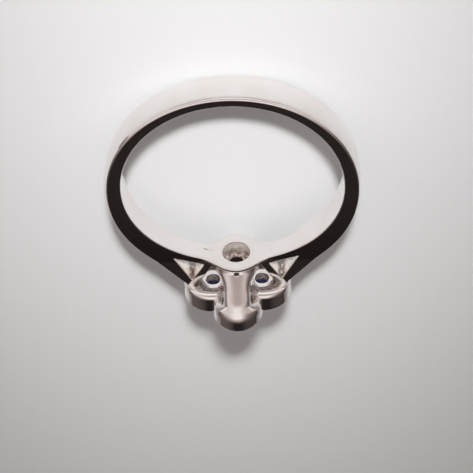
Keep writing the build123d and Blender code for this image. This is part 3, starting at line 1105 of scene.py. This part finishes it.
    def build(self) -> bpy.types.Object:
        """Builds the mount as one closed mesh laid in the frame.

        Returns:
            The finished object.
        """
        points, faces = self.grid().build(self.body)
        points = self.settle(points.T, self.first_rounds)
        for _ in range(self.even_rounds):
            points = self.settle(self.even_out(points, faces), 1)
        points = self.settle(points, 1)
        raw = mesh_object("raw_casting", points.T, faces)
        log.info("raw casting: %d points, %d faces", len(raw.data.vertices), len(raw.data.polygons))
        thinned = self.thin(raw)
        self.refine(thinned.data)
        log.info("casting: %d triangles", len(thinned.data.polygons))
        return self.finish(thinned)

    def thin(self, raw: bpy.types.Object) -> bpy.types.Object:
        """Takes triangles away where the surface is flat, down to the wanted number.

        Args:
            raw: The fine mesh.

        Returns:
            The thinned object.
        """
        share = min(1.0, self.triangles / (2 * len(raw.data.polygons)))
        thinner = raw.modifiers.new("thinner", "DECIMATE")
        thinner.ratio = share
        thinner.use_collapse_triangulate = True
        return baked(raw, "ring_casting")

    def refine(self, mesh: bpy.types.Mesh) -> None:
        """Splits the triangles at the marks of wear, so that the marks keep their shape.

        Args:
            mesh: The thinned mesh, upright and in millimetres.
        """
        fine = bmesh.new()
        fine.from_mesh(mesh)
        for _ in range(self.mark_rounds):
            points = np.array([point.co for point in fine.verts]).T
            near = np.zeros(points.shape[1], bool)
            for mark in self.marks:
                near |= mark.widened(self.mark_margin).weight(points) > self.mark_weight
            edges = [
                edge for edge in fine.edges
                if all(near[point.index] for point in edge.verts) and edge.calc_length() > self.mark_edge
            ]
            bmesh.ops.subdivide_edges(fine, edges=edges, cuts=1, use_grid_fill=True)
            bmesh.ops.triangulate(fine, faces=[face for face in fine.faces if len(face.verts) > 3])
            fine.verts.index_update()
        fine.to_mesh(mesh)
        fine.free()
        log.info("casting with its marks: %d triangles", len(mesh.polygons))

    def finish(self, piece: bpy.types.Object) -> bpy.types.Object:
        """Settles the thinned mesh on the surface, stores its skins and normals and lays it in the frame.

        Args:
            piece: The thinned mesh.

        Returns:
            The same object, settled, dressed and in place.
        """
        mesh = piece.data
        points = self.settle(mesh_points(mesh), self.last_rounds)
        normals = self.slope(points)
        normals /= np.maximum(np.linalg.norm(normals, axis=0), 1e-9)
        store(mesh, Skin.CAST, self.cast_skin(points))
        store(mesh, Skin.RESIDUE_AND_SHADE, self.residue_and_shade(points))
        store(mesh, Skin.SEAM, self.seam_line(points))
        lie = Lie.from_frame()
        mesh.vertices.foreach_set("co", lie.place(points).T.ravel())
        mesh.shade_smooth()
        mesh.normals_split_custom_set_from_vertices(lie.turned(normals).T.tolist())
        return piece


@dataclass(frozen=True)
class Lie:
    """How the upright ring is laid on its side in the frame: its turn about X and its finger centre."""

    turn: Matrix
    centre: Vector

    @staticmethod
    def from_frame() -> "Lie":
        """Reads the finger hole's place and axis from the record.

        Returns:
            The ring's turn and centre.
        """
        bore = next(mount for mount in frame["record"]["mounts"] if mount["kind"] == "bore")
        axis = Vector(bore["axis"]).normalized()
        head_up = Vector((1.0, 0.0, 0.0)).cross(-axis)
        columns = (Vector((1.0, 0.0, 0.0)), -axis, head_up)
        return Lie(Matrix(columns).transposed(), Vector(bore["pos_m"]))

    def turned(self, rows: Array) -> Array:
        """Directions of the upright ring turned into the frame."""
        return np.array(self.turn) @ rows

    def place(self, rows: Array) -> Array:
        """Points of the upright ring in millimetres, placed in the frame in metres."""
        return self.turned(rows) * MM + np.array(self.centre)[:, None]


def linked(name: str, data: bpy.types.ID) -> bpy.types.Object:
    """Makes an object and links it to the scene.

    Args:
        name: Name of the object.
        data: Its mesh, lamp or camera.

    Returns:
        The new object.
    """
    thing = bpy.data.objects.new(name, data)
    bpy.context.scene.collection.objects.link(thing)
    return thing


def mesh_object(name: str, points: Array, faces: Array) -> bpy.types.Object:
    """Makes a mesh object and links it to the scene.

    Args:
        name: Name of the object and its mesh.
        points: Rows of three coordinates.
        faces: Rows of point numbers.

    Returns:
        The new object.
    """
    mesh = bpy.data.meshes.new(name)
    mesh.from_pydata(points.tolist(), [], faces.tolist())
    mesh.update()
    return linked(name, mesh)


def mesh_points(mesh: bpy.types.Mesh) -> Array:
    """The points of a mesh.

    Args:
        mesh: The mesh.

    Returns:
        Three rows of coordinates.
    """
    points = np.empty(len(mesh.vertices) * 3)
    mesh.vertices.foreach_get("co", points)
    return points.reshape(-1, 3).T


def baked(source: bpy.types.Object, name: str) -> bpy.types.Object:
    """Turns an object with its modifiers into a plain mesh and removes the source.

    Args:
        source: Object with live modifiers.
        name: Name of the plain object.

    Returns:
        The plain object.
    """
    bpy.context.view_layer.update()
    depsgraph = bpy.context.evaluated_depsgraph_get()
    mesh = bpy.data.meshes.new_from_object(source.evaluated_get(depsgraph))
    bpy.data.objects.remove(source)
    mesh.name = name
    return linked(name, mesh)


def store(mesh: bpy.types.Mesh, skin: Skin, values: Array) -> None:
    """Stores one skin's weight on the points of a mesh."""
    layer = mesh.attributes.new(skin.value, "FLOAT", "POINT")
    layer.data.foreach_set("value", values.astype(np.float32))


@dataclass
class NodeTree:
    """Short way to write a shader or geometry tree."""

    tree: bpy.types.NodeTree

    def node(self, kind: str, **settings: object) -> bpy.types.Node:
        """Adds a node and sets its properties.

        Args:
            kind: Type name of the node.
            settings: Properties to set.

        Returns:
            The new node.
        """
        node = self.tree.nodes.new(kind)
        for name, value in settings.items():
            setattr(node, name, value)
        return node

    def link(self, source: Socket, target: Socket) -> None:
        """Joins two sockets."""
        self.tree.links.new(source, target)

    def attribute(self, skin: Skin) -> Socket:
        """Value of a stored skin."""
        return self.node("ShaderNodeAttribute", attribute_name=skin.value).outputs["Fac"]

    def noise(self, vector: Socket, scale: float, detail: float = 3.0) -> Socket:
        """Even noise between 0 and 1 at a scale per millimetre.

        Args:
            vector: Coordinates that it reads.
            scale: Its scale.
            detail: How many finer layers it has.

        Returns:
            The noise.
        """
        node = self.node("ShaderNodeTexNoise")
        node.inputs["Scale"].default_value = scale
        node.inputs["Detail"].default_value = detail
        self.link(vector, node.inputs["Vector"])
        return node.outputs["Fac"]

    def remap(self, value: Socket, given: Pair, wanted: Pair) -> Socket:
        """Maps one range of a value to another, clamped at both ends.

        Args:
            value: The value.
            given: Range that is read.
            wanted: Range that it becomes.

        Returns:
            The new value.
        """
        node = self.node("ShaderNodeMapRange")
        node.inputs["From Min"].default_value, node.inputs["From Max"].default_value = given
        node.inputs["To Min"].default_value, node.inputs["To Max"].default_value = wanted
        self.link(value, node.inputs["Value"])
        return node.outputs["Result"]

    def math(self, operation: str, first: Socket, second: Socket | float) -> Socket:
        """One step of arithmetic on two values.

        Args:
            operation: Name of the operation.
            first: First value.
            second: Second value.

        Returns:
            The result.
        """
        node = self.node("ShaderNodeMath", operation=operation)
        self.link(first, node.inputs[0])
        if isinstance(second, (int, float)):
            node.inputs[1].default_value = second
        else:
            self.link(second, node.inputs[1])
        return node.outputs[0]

    def mix(self, share: Socket, first: Socket | Triple, second: Socket | Triple) -> Socket:
        """Mixes two colours, each a socket or a colour of three parts.

        Args:
            share: Share of the second colour.
            first: First colour.
            second: Second colour.

        Returns:
            The mixed colour.
        """
        node = self.node("ShaderNodeMix", data_type="RGBA")
        self.link(share, node.inputs["Factor"])
        for colour, socket in ((first, node.inputs[6]), (second, node.inputs[7])):
            if isinstance(colour, tuple):
                socket.default_value = (*colour, 1.0)
            else:
                self.link(colour, socket)
        return node.outputs[2]

    def millimetres(self, stretch: Triple = (1.0, 1.0, 1.0)) -> Socket:
        """Object coordinates in millimetres, stretched along the axes.

        Args:
            stretch: Scale along each axis.

        Returns:
            The coordinates.
        """
        place = self.node("ShaderNodeTexCoord").outputs["Object"]
        mapping = self.node("ShaderNodeMapping")
        mapping.inputs["Scale"].default_value = [part / MM for part in stretch]
        self.link(place, mapping.inputs["Vector"])
        return mapping.outputs["Vector"]


def new_material(name: str) -> tuple[bpy.types.Material, NodeTree, bpy.types.Node]:
    """Makes a node material with its surface shader.

    Args:
        name: Name of the material.

    Returns:
        The material, its tree and its surface shader.
    """
    material = bpy.data.materials.new(name)
    material.use_nodes = True
    tree = NodeTree(material.node_tree)
    return material, tree, material.node_tree.nodes["Principled BSDF"]


@dataclass(frozen=True)
class WhiteGold:
    """Polished white gold, with raw cast skin, brown residue and painted shade where the skins say so."""

    polished: Triple = (0.90, 0.87, 0.86)
    warm: Triple = (0.86, 0.82, 0.80)
    raw: Triple = (0.90, 0.86, 0.83)
    speck: Triple = (0.36, 0.27, 0.23)
    brown: Triple = (0.15, 0.095, 0.07)
    # Near-black painted shade for the collar's centre hole and the marks' cores.
    painted_shade: Triple = (0.02, 0.016, 0.015)
    seam: Triple = (0.10, 0.07, 0.06)
    gloss: Pair = (0.05, 0.10)
    raw_dullness: float = 0.9
    raw_roughness: float = 0.4
    residue_roughness: float = 0.45
    metallic: Pair = (1.0, 0.4)
    cloud_scale: float = 0.35
    cloud_range: Pair = (0.35, 0.65)
    speck_scale: float = 10.0
    speck_range: Pair = (0.55, 0.7)
    speck_share: float = 0.8
    speck_skin: Pair = (0.8, 1.0)
    blotch_scale: float = 3.2
    blotch_range: Pair = (0.3, 0.6)
    blotch_share: Pair = (0.35, 1.0)
    gloss_scale: float = 0.8
    gloss_range: Pair = (0.3, 0.7)
    grain_scale: float = 9.0
    grain_strength: float = 0.9
    grain_height: float = 0.05
    polish_stretch: Triple = (1.2, 14.0, 9.0)
    polish_strength: float = 0.02
    polish_height: float = 0.02
    # Weights above 1 turn into near-black painted shade.
    painted_shade_start: Pair = (1.1, 1.9)
    seam_range: Pair = (0.25, 0.7)
    seam_share: float = 0.92

    def material(self) -> bpy.types.Material:
        """Builds the material.

        Returns:
            The material.
        """
        material, tree, shader = new_material("white_gold_polished")
        place = tree.millimetres()
        clouds = tree.noise(place, self.cloud_scale, detail=2.0)
        colour = tree.mix(tree.remap(clouds, self.cloud_range, FULL), self.polished, self.warm)
        cast = tree.attribute(Skin.CAST)
        specks = tree.noise(place, self.speck_scale)
        specks = tree.remap(specks, self.speck_range, (0.0, self.speck_share))
        specks = tree.math("MULTIPLY", specks, tree.remap(cast, self.speck_skin, FULL))
        colour = tree.mix(cast, colour, tree.mix(specks, self.raw, self.speck))
        blotch = tree.remap(tree.noise(place, self.blotch_scale), self.blotch_range, self.blotch_share)
        # Brown residue, and brown painted shade deep in the collar's hole.
        residue_and_shade = tree.attribute(Skin.RESIDUE_AND_SHADE)
        dirt_and_shade = tree.math("MINIMUM", tree.math("MULTIPLY", residue_and_shade, blotch), 1.0)
        colour = tree.mix(dirt_and_shade, colour, self.brown)
        # Near-black painted shade where the weight passes 1.
        colour = tree.mix(tree.remap(residue_and_shade, self.painted_shade_start, FULL), colour, self.painted_shade)
        line = tree.remap(tree.attribute(Skin.SEAM), self.seam_range, (0.0, self.seam_share))
        colour = tree.mix(line, colour, self.seam)
        tree.link(colour, shader.inputs["Base Color"])
        dull = tree.math("MAXIMUM", dirt_and_shade, tree.math("MULTIPLY", cast, self.raw_dullness))
        tree.link(tree.remap(dull, FULL, self.metallic), shader.inputs["Metallic"])
        self.add_roughness(tree, shader, place, cast, dirt_and_shade)
        self.add_relief(tree, shader, place, cast)
        return material

    def add_roughness(self, tree: NodeTree, shader: bpy.types.Node, place: Socket,
                      cast: Socket, dirt_and_shade: Socket) -> None:
        """Gloss that varies a little where polished and is dull on raw and dirty skin.

        Args:
            tree: Tree of the finish.
            shader: Surface shader of the finish.
            place: Coordinates in millimetres.
            cast: Share of raw cast skin.
            dirt_and_shade: Share of brown residue and brown painted shade.
        """
        gloss = tree.remap(tree.noise(place, self.gloss_scale), self.gloss_range, self.gloss)
        raw = tree.math("MULTIPLY", cast, self.raw_roughness)
        dull = tree.math("MULTIPLY", dirt_and_shade, self.residue_roughness)
        total = tree.math("ADD", tree.math("ADD", gloss, raw), dull)
        tree.link(total, shader.inputs["Roughness"])

    def add_relief(self, tree: NodeTree, shader: bpy.types.Node, place: Socket, cast: Socket) -> None:
        """Fine polishing lines everywhere and a grainy skin where raw.

        Args:
            tree: Tree of the finish.
            shader: Surface shader of the finish.
            place: Coordinates in millimetres.
            cast: Share of raw cast skin.
        """
        lines = tree.noise(tree.millimetres(self.polish_stretch), scale=1.0)
        grain = tree.noise(place, self.grain_scale, detail=4.0)
        polish = tree.node("ShaderNodeBump")
        polish.inputs["Strength"].default_value = self.polish_strength
        polish.inputs["Distance"].default_value = self.polish_height * MM
        tree.link(lines, polish.inputs["Height"])
        skin = tree.node("ShaderNodeBump")
        skin.inputs["Distance"].default_value = self.grain_height * MM
        tree.link(tree.math("MULTIPLY", cast, self.grain_strength), skin.inputs["Strength"])
        tree.link(grain, skin.inputs["Height"])
        tree.link(polish.outputs["Normal"], skin.inputs["Normal"])
        tree.link(skin.outputs["Normal"], shader.inputs["Normal"])


@dataclass(frozen=True)
class Sapphire:
    """Deep blue cut stone with faint colour zones."""

    deep: Triple = (0.0015, 0.004, 0.055)
    light: Triple = (0.005, 0.016, 0.15)
    zone_stretch: Triple = (1.0, 0.4, 0.4)
    zone_scale: float = 1.1
    zone_range: Pair = (0.35, 0.65)
    transmission: float = 0.9
    index: float = 1.77
    roughness: float = 0.01

    def material(self) -> bpy.types.Material:
        """Builds the material.

        Returns:
            The material.
        """
        material, tree, shader = new_material("sapphire_blue")
        zones = tree.noise(tree.millimetres(self.zone_stretch), self.zone_scale, detail=2.0)
        colour = tree.mix(tree.remap(zones, self.zone_range, FULL), self.deep, self.light)
        tree.link(colour, shader.inputs["Base Color"])
        shader.inputs["Transmission Weight"].default_value = self.transmission
        shader.inputs["IOR"].default_value = self.index
        shader.inputs["Roughness"].default_value = self.roughness
        return material


@dataclass(frozen=True)
class PaleTable:
    """Matt pale surface that the ring lies on."""

    colour: Triple = (0.58, 0.595, 0.605)
    shade: Triple = (0.56, 0.575, 0.585)
    roughness: float = 0.55
    cloud_scale: float = 0.02

    def material(self) -> bpy.types.Material:
        """Builds the material.

        Returns:
            The material.
        """
        material, tree, shader = new_material("pale_table")
        clouds = tree.noise(tree.millimetres(), self.cloud_scale, detail=2.0)
        tree.link(tree.mix(clouds, self.colour, self.shade), shader.inputs["Base Color"])
        shader.inputs["Roughness"].default_value = self.roughness
        return material


@dataclass
class Claws:
    """Round claws that hold the stones: shared ones between the main stones and small ones at the centre."""

    stones: Stones = field(default_factory=Stones)
    radius: float = 0.28
    lap: float = 0.1
    drop: float = 0.06
    centre_radius: float = 0.14
    root: float = 0.35
    crown_taper: float = 0.43
    clearance_share: float = 0.5
    segments: int = 28
    rings: int = 18

    def shared_places(self) -> list[Pair]:
        """Places of the shared claws: outside and inside each pair of neighbouring stones.

        Returns:
            Places across and along the finger.
        """
        reach = self.stones.diameter / 2 + self.radius - self.lap
        dx, dy = self.stones.side_offset, self.stones.end_offset
        apart = math.hypot(dx, dy)
        aside = math.sqrt(reach**2 - (apart / 2) ** 2)
        places = []
        for sign in (1, -1):
            x = dx / 2 + sign * dy / apart * aside
            y = dy / 2 + sign * dx / apart * aside
            places += [(x * right, y * back) for right in (1, -1) for back in (1, -1)]
        return places

    def centre_places(self) -> list[Pair]:
        """Places of the small claws round the centre stone.

        Returns:
            Places across and along the finger.
        """
        reach = self.stones.centre_diameter / 2 + self.stones.gap
        turn = math.atan2(self.stones.end_offset, self.stones.side_offset)
        x, y = reach * math.cos(turn), reach * math.sin(turn)
        return [(x * right, y * back) for right in (1, -1) for back in (1, -1)]

    def tree(self, material: bpy.types.Material) -> bpy.types.NodeTree:
        """Geometry tree that stands a round-topped claw on each point of a mesh.

        Args:
            material: Finish of the claws.

        Returns:
            The geometry tree, with inputs for the claws' radius and height.
        """
        group = bpy.data.node_groups.new("claw_setter", "GeometryNodeTree")
        face = group.interface
        face.new_socket("Places", in_out="INPUT", socket_type="NodeSocketGeometry")
        face.new_socket("Claw Radius", in_out="INPUT", socket_type="NodeSocketFloat")
        face.new_socket("Claw Height", in_out="INPUT", socket_type="NodeSocketFloat")
        face.new_socket("Claws", in_out="OUTPUT", socket_type="NodeSocketGeometry")
        tree = NodeTree(group)
        given = tree.node("NodeGroupInput")
        ball = tree.node("GeometryNodeMeshUVSphere")
        ball.inputs["Segments"].default_value = self.segments
        ball.inputs["Rings"].default_value = self.rings
        tree.link(given.outputs["Claw Radius"], ball.inputs["Radius"])
        parts = tree.node("ShaderNodeSeparateXYZ")
        tree.link(tree.node("GeometryNodeInputPosition").outputs[0], parts.inputs[0])
        lower = tree.node("FunctionNodeCompare", data_type="FLOAT", operation="LESS_THAN")
        tree.link(parts.outputs["Z"], lower.inputs["A"])
        down = tree.node("ShaderNodeCombineXYZ")
        tree.link(tree.math("MULTIPLY", given.outputs["Claw Height"], -1.0), down.inputs["Z"])
        stretch = tree.node("GeometryNodeSetPosition")
        tree.link(ball.outputs["Mesh"], stretch.inputs["Geometry"])
        tree.link(lower.outputs["Result"], stretch.inputs["Selection"])
        tree.link(down.outputs[0], stretch.inputs["Offset"])
        stand = tree.node("GeometryNodeInstanceOnPoints")
        tree.link(given.outputs["Places"], stand.inputs["Points"])
        tree.link(stretch.outputs["Geometry"], stand.inputs["Instance"])
        real = tree.node("GeometryNodeRealizeInstances")
        tree.link(stand.outputs["Instances"], real.inputs["Geometry"])
        finish = tree.node("GeometryNodeSetMaterial")
        finish.inputs["Material"].default_value = material
        tree.link(real.outputs["Geometry"], finish.inputs["Geometry"])
        result = tree.node("NodeGroupOutput")
        tree.link(finish.outputs["Geometry"], result.inputs["Claws"])
        return group

    def row(self, name: str, places: list[Pair], radius: float,
            group: bpy.types.NodeTree) -> bpy.types.Object:
        """One set of equal claws as a plain mesh, still upright and in millimetres.

        Args:
            name: Name of the object.
            places: Where the claws stand.
            radius: Radius of each claw.
            group: The geometry tree.

        Returns:
            The plain object.
        """
        top = self.stones.table - self.drop - radius
        height = top - (self.stones.rim - self.root) - radius
        points = np.array([(x, y, top) for x, y in places])
        source = mesh_object(name + "_places", points, np.empty((0, 3), int))
        setter = source.modifiers.new("setter", "NODES")
        setter.node_group = group
        given = [item for item in group.interface.items_tree if item.in_out == "INPUT"]
        sockets = {item.name: item.identifier for item in given}
        setter[sockets["Claw Radius"]] = radius
        setter[sockets["Claw Height"]] = height
        return baked(source, name)

    def build(self, material: bpy.types.Material) -> bpy.types.Object:
        """Builds all the claws as one piece, notched round the stones and laid in the frame.

        Args:
            material: Finish of the claws.

        Returns:
            The finished object.
        """
        group = self.tree(material)
        shared = self.row("claws", self.shared_places(), self.radius, group)
        small = self.row("centre_claws", self.centre_places(), self.centre_radius, group)
        with bpy.context.temp_override(active_object=shared, selected_editable_objects=[shared, small]):
            bpy.ops.object.join()
        mesh = shared.data
        points = self.notched(mesh_points(mesh))
        mesh.vertices.foreach_set("co", Lie.from_frame().place(points).T.ravel())
        mesh.shade_smooth()
        mesh.update()
        return shared

    def notched(self, points: Array) -> Array:
        """Pushes the parts of the claws that would enter a stone out to the stone's edge.

        Args:
            points: Three rows of coordinates.

        Returns:
            The points, clear of the stones.
        """
        centres = [(self.stones.side_offset * sign, 0.0) for sign in (1, -1)]
        centres += [(0.0, self.stones.end_offset * sign) for sign in (1, -1)]
        rows = [(x, y, self.stones.diameter, self.stones.rim) for x, y in centres]
        rows.append((0.0, 0.0, self.stones.centre_diameter, self.stones.rim + self.stones.centre_rise))
        x, y, z = points
        for cx, cy, diameter, girdle in rows:
            above = np.clip((z - girdle) / (diameter * self.stones.crown_share), 0.0, 1.0)
            edge = diameter / 2 * (1.0 - self.crown_taper * above) + self.stones.gap * self.clearance_share
            rho = np.maximum(np.hypot(x - cx, y - cy), 1e-6)
            push = np.maximum(edge / rho, 1.0)
            x, y = cx + (x - cx) * push, cy + (y - cy) * push
        return np.stack([x, y, z])


@dataclass(frozen=True)
class Arch:
    """A light tent bent over the ring from the shank's side to the head's side, seen in the polished metal.

    Each row is an angle in degrees, from the horizon on the shank's side over the top to the horizon behind
    the head, and the tent's brightness there.
    """

    middle: tuple[Pair, ...]
    plus_side: tuple[Pair, ...]
    minus_side: tuple[Pair, ...]
    strength: float = 1.25
    side_start: float = 0.25
    side_end: float = 0.8
    bright_tint: Triple = (1.0, 0.965, 0.95)
    dim_tint: Triple = (1.0, 0.80, 0.75)

    def colour(self, brightness: float) -> tuple[float, float, float, float]:
        """Colour of the tent: warmer where it is dim.

        Args:
            brightness: Brightness of the tent.

        Returns:
            The colour, fully opaque.
        """
        share = min(1.0, brightness * brightness)
        tint = [dim + (bright - dim) * share for dim, bright in zip(self.dim_tint, self.bright_tint)]
        return (*(part * brightness / self.strength for part in tint), 1.0)

    def ramp(self, tree: NodeTree, angle: Socket, rows: tuple[Pair, ...]) -> Socket:
        """Brightness along the arch.

        Args:
            tree: Tree of the room's shader.
            angle: Share of the way over the top, from 0 to 1.
            rows: Angles and brightnesses.

        Returns:
            The colour at that place.
        """
        node = tree.node("ShaderNodeValToRGB")
        tree.link(angle, node.inputs["Fac"])
        stops = node.color_ramp
        stops.interpolation = "EASE"
        while len(stops.elements) < len(rows):
            stops.elements.new(0.5)
        for stop, (degrees, brightness) in zip(stops.elements, rows):
            stop.position = degrees / 180.0
            stop.color = self.colour(brightness)
        return node.outputs["Color"]

    def light(self, tree: NodeTree) -> Socket:
        """Light of the tent in each direction.

        Args:
            tree: Tree of the room's shader.

        Returns:
            Colour of the light.
        """
        parts = tree.node("ShaderNodeSeparateXYZ")
        tree.link(tree.node("ShaderNodeTexCoord").outputs["Generated"], parts.inputs[0])
        away = tree.math("MULTIPLY", parts.outputs["Y"], -1.0)
        turn = tree.math("ARCTAN2", parts.outputs["Z"], away)
        angle = tree.math("DIVIDE", turn, math.pi)
        blend = self.ramp(tree, angle, self.middle)
        for sign, rows in ((1.0, self.plus_side), (-1.0, self.minus_side)):
            aside = tree.math("MULTIPLY", parts.outputs["X"], sign)
            share = tree.remap(aside, (self.side_start, self.side_end), FULL)
            blend = tree.mix(share, blend, self.ramp(tree, angle, rows))
        scaled = tree.node("ShaderNodeVectorMath", operation="SCALE")
        tree.link(blend, scaled.inputs[0])
        scaled.inputs["Scale"].default_value = self.strength
        return scaled.outputs["Vector"]


@dataclass(frozen=True)
class SoftBox:
    """A soft round lamp with a narrow spread that lights the table round the ring."""

    name: str
    place: Triple
    size: float
    spread: float
    power: float
    tint: Triple = (1.0, 0.985, 0.975)

    def add(self, aim: Vector) -> None:
        """Adds the lamp, turned to the ring. Its own outline stays out of the metal.

        Args:
            aim: Point that the lamp is turned to.
        """
        light = bpy.data.lights.new(self.name, "AREA")
        light.shape = "DISK"
        light.size = self.size
        light.spread = math.radians(self.spread)
        light.energy = self.power
        light.color = self.tint
        lamp = linked(self.name, light)
        lamp.location = self.place
        lamp.rotation_euler = (aim - lamp.location).to_track_quat("-Z", "Y").to_euler()
        lamp.visible_glossy = False


@dataclass
class Studio:
    """Camera at the photograph's angle to the ring, pale table and soft light."""

    eye: Triple = (-6.37, -205.83, 161.15)
    aim: Triple = (-0.2012, 0.694, 6.644)
    picture_up: Triple = (-0.02375, -0.59842, -0.80082)
    light_aim: Triple = (0.0, -22.0, 0.0)
    focal_pixels: float = 3329.0
    picture_pixels: float = 473.0
    sensor: float = 36.0
    table_half: float = 1.5
    boxes: tuple[SoftBox, ...] = (
        SoftBox("key_box", (-0.02, -0.42, 0.22), 0.06, 8.0, 0.022),
    )
    arch: Arch = Arch(
        middle=((0.0, 1.0), (20.0, 1.0), (31.0, 0.62), (39.0, 0.42), (48.0, 0.45), (64.0, 0.95),
                (84.0, 0.95), (98.0, 0.48), (110.0, 0.18), (122.0, 0.022), (150.0, 0.012), (180.0, 0.04)),
        plus_side=((0.0, 1.0), (30.0, 0.85), (48.0, 0.66), (62.0, 0.72), (80.0, 0.6), (98.0, 0.38),
                   (115.0, 0.26), (135.0, 0.15), (180.0, 0.12)),
        minus_side=((0.0, 0.95), (28.0, 0.8), (44.0, 0.55), (58.0, 0.58), (70.0, 0.36), (84.0, 0.2),
                    (100.0, 0.2), (118.0, 0.15), (135.0, 0.1), (180.0, 0.06)),
    )

    def add_camera(self) -> None:
        """Adds the camera and makes it the scene's."""
        data = bpy.data.cameras.new("camera")
        data.sensor_width = self.sensor
        data.lens = self.focal_pixels / self.picture_pixels * self.sensor
        data.clip_start = 0.01
        data.clip_end = 20.0
        camera = linked("camera", data)
        back = (Vector(self.eye) - Vector(self.aim)).normalized()
        right = Vector(self.picture_up).cross(back).normalized()
        up = back.cross(right)
        camera.matrix_world = (
            Matrix.Translation(Vector(self.eye) * MM) @ Matrix((right, up, back)).transposed().to_4x4()
        )
        bpy.context.scene.camera = camera

    def add_table(self) -> None:
        """Adds the pale table."""
        half = self.table_half
        points = np.array([(-half, -half, 0.0), (half, -half, 0.0), (half, half, 0.0), (-half, half, 0.0)])
        table = mesh_object("table", points, np.array([[0, 1, 2, 3]]))
        table.data.materials.append(PaleTable().material())

    def add_room(self) -> None:
        """Adds the light tent as the scene's world."""
        world = bpy.data.worlds.new("room")
        world.use_nodes = True
        tree = NodeTree(world.node_tree)
        tree.link(self.arch.light(tree), world.node_tree.nodes["Background"].inputs["Color"])
        bpy.context.scene.world = world

    def build(self) -> None:
        """Sets up the whole studio."""
        self.add_camera()
        self.add_table()
        self.add_room()
        for box in self.boxes:
            box.add(Vector(self.light_aim) * MM)
        bpy.context.scene.view_settings.view_transform = "Standard"


def dress_stones(material: bpy.types.Material) -> None:
    """Gives every sapphire of the frame its finish.

    Args:
        material: The sapphire finish.
    """
    for name, stone in frame["nodes"].items():
        if name.startswith("sapphire"):
            stone.data.materials.clear()
            stone.data.materials.append(material)
            log.info("%s: dressed as %s", name, Slot.SAPPHIRE.value)


def add_piece(piece: bpy.types.Object, node: str) -> None:
    """Makes a finished piece part of the ring.

    Args:
        piece: The finished object.
        node: The frame's node that it stands for.
    """
    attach(piece, BODY)
    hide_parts(node)
    log.info("%s: %d faces", piece.name, len(piece.data.polygons))


def main() -> None:
    """Builds the ring and its studio."""
    logging.basicConfig(level=logging.INFO, format="%(name)s: %(message)s")
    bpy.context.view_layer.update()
    Studio().build()
    gold = WhiteGold().material()
    casting = Casting().build()
    casting.data.materials.clear()
    casting.data.materials.append(gold)
    add_piece(casting, CASTING_NODE)
    claws = Claws().build(gold)
    add_piece(claws, CASTING_NODE)
    dress_stones(Sapphire().material())


if __name__ == "__main__":
    main()
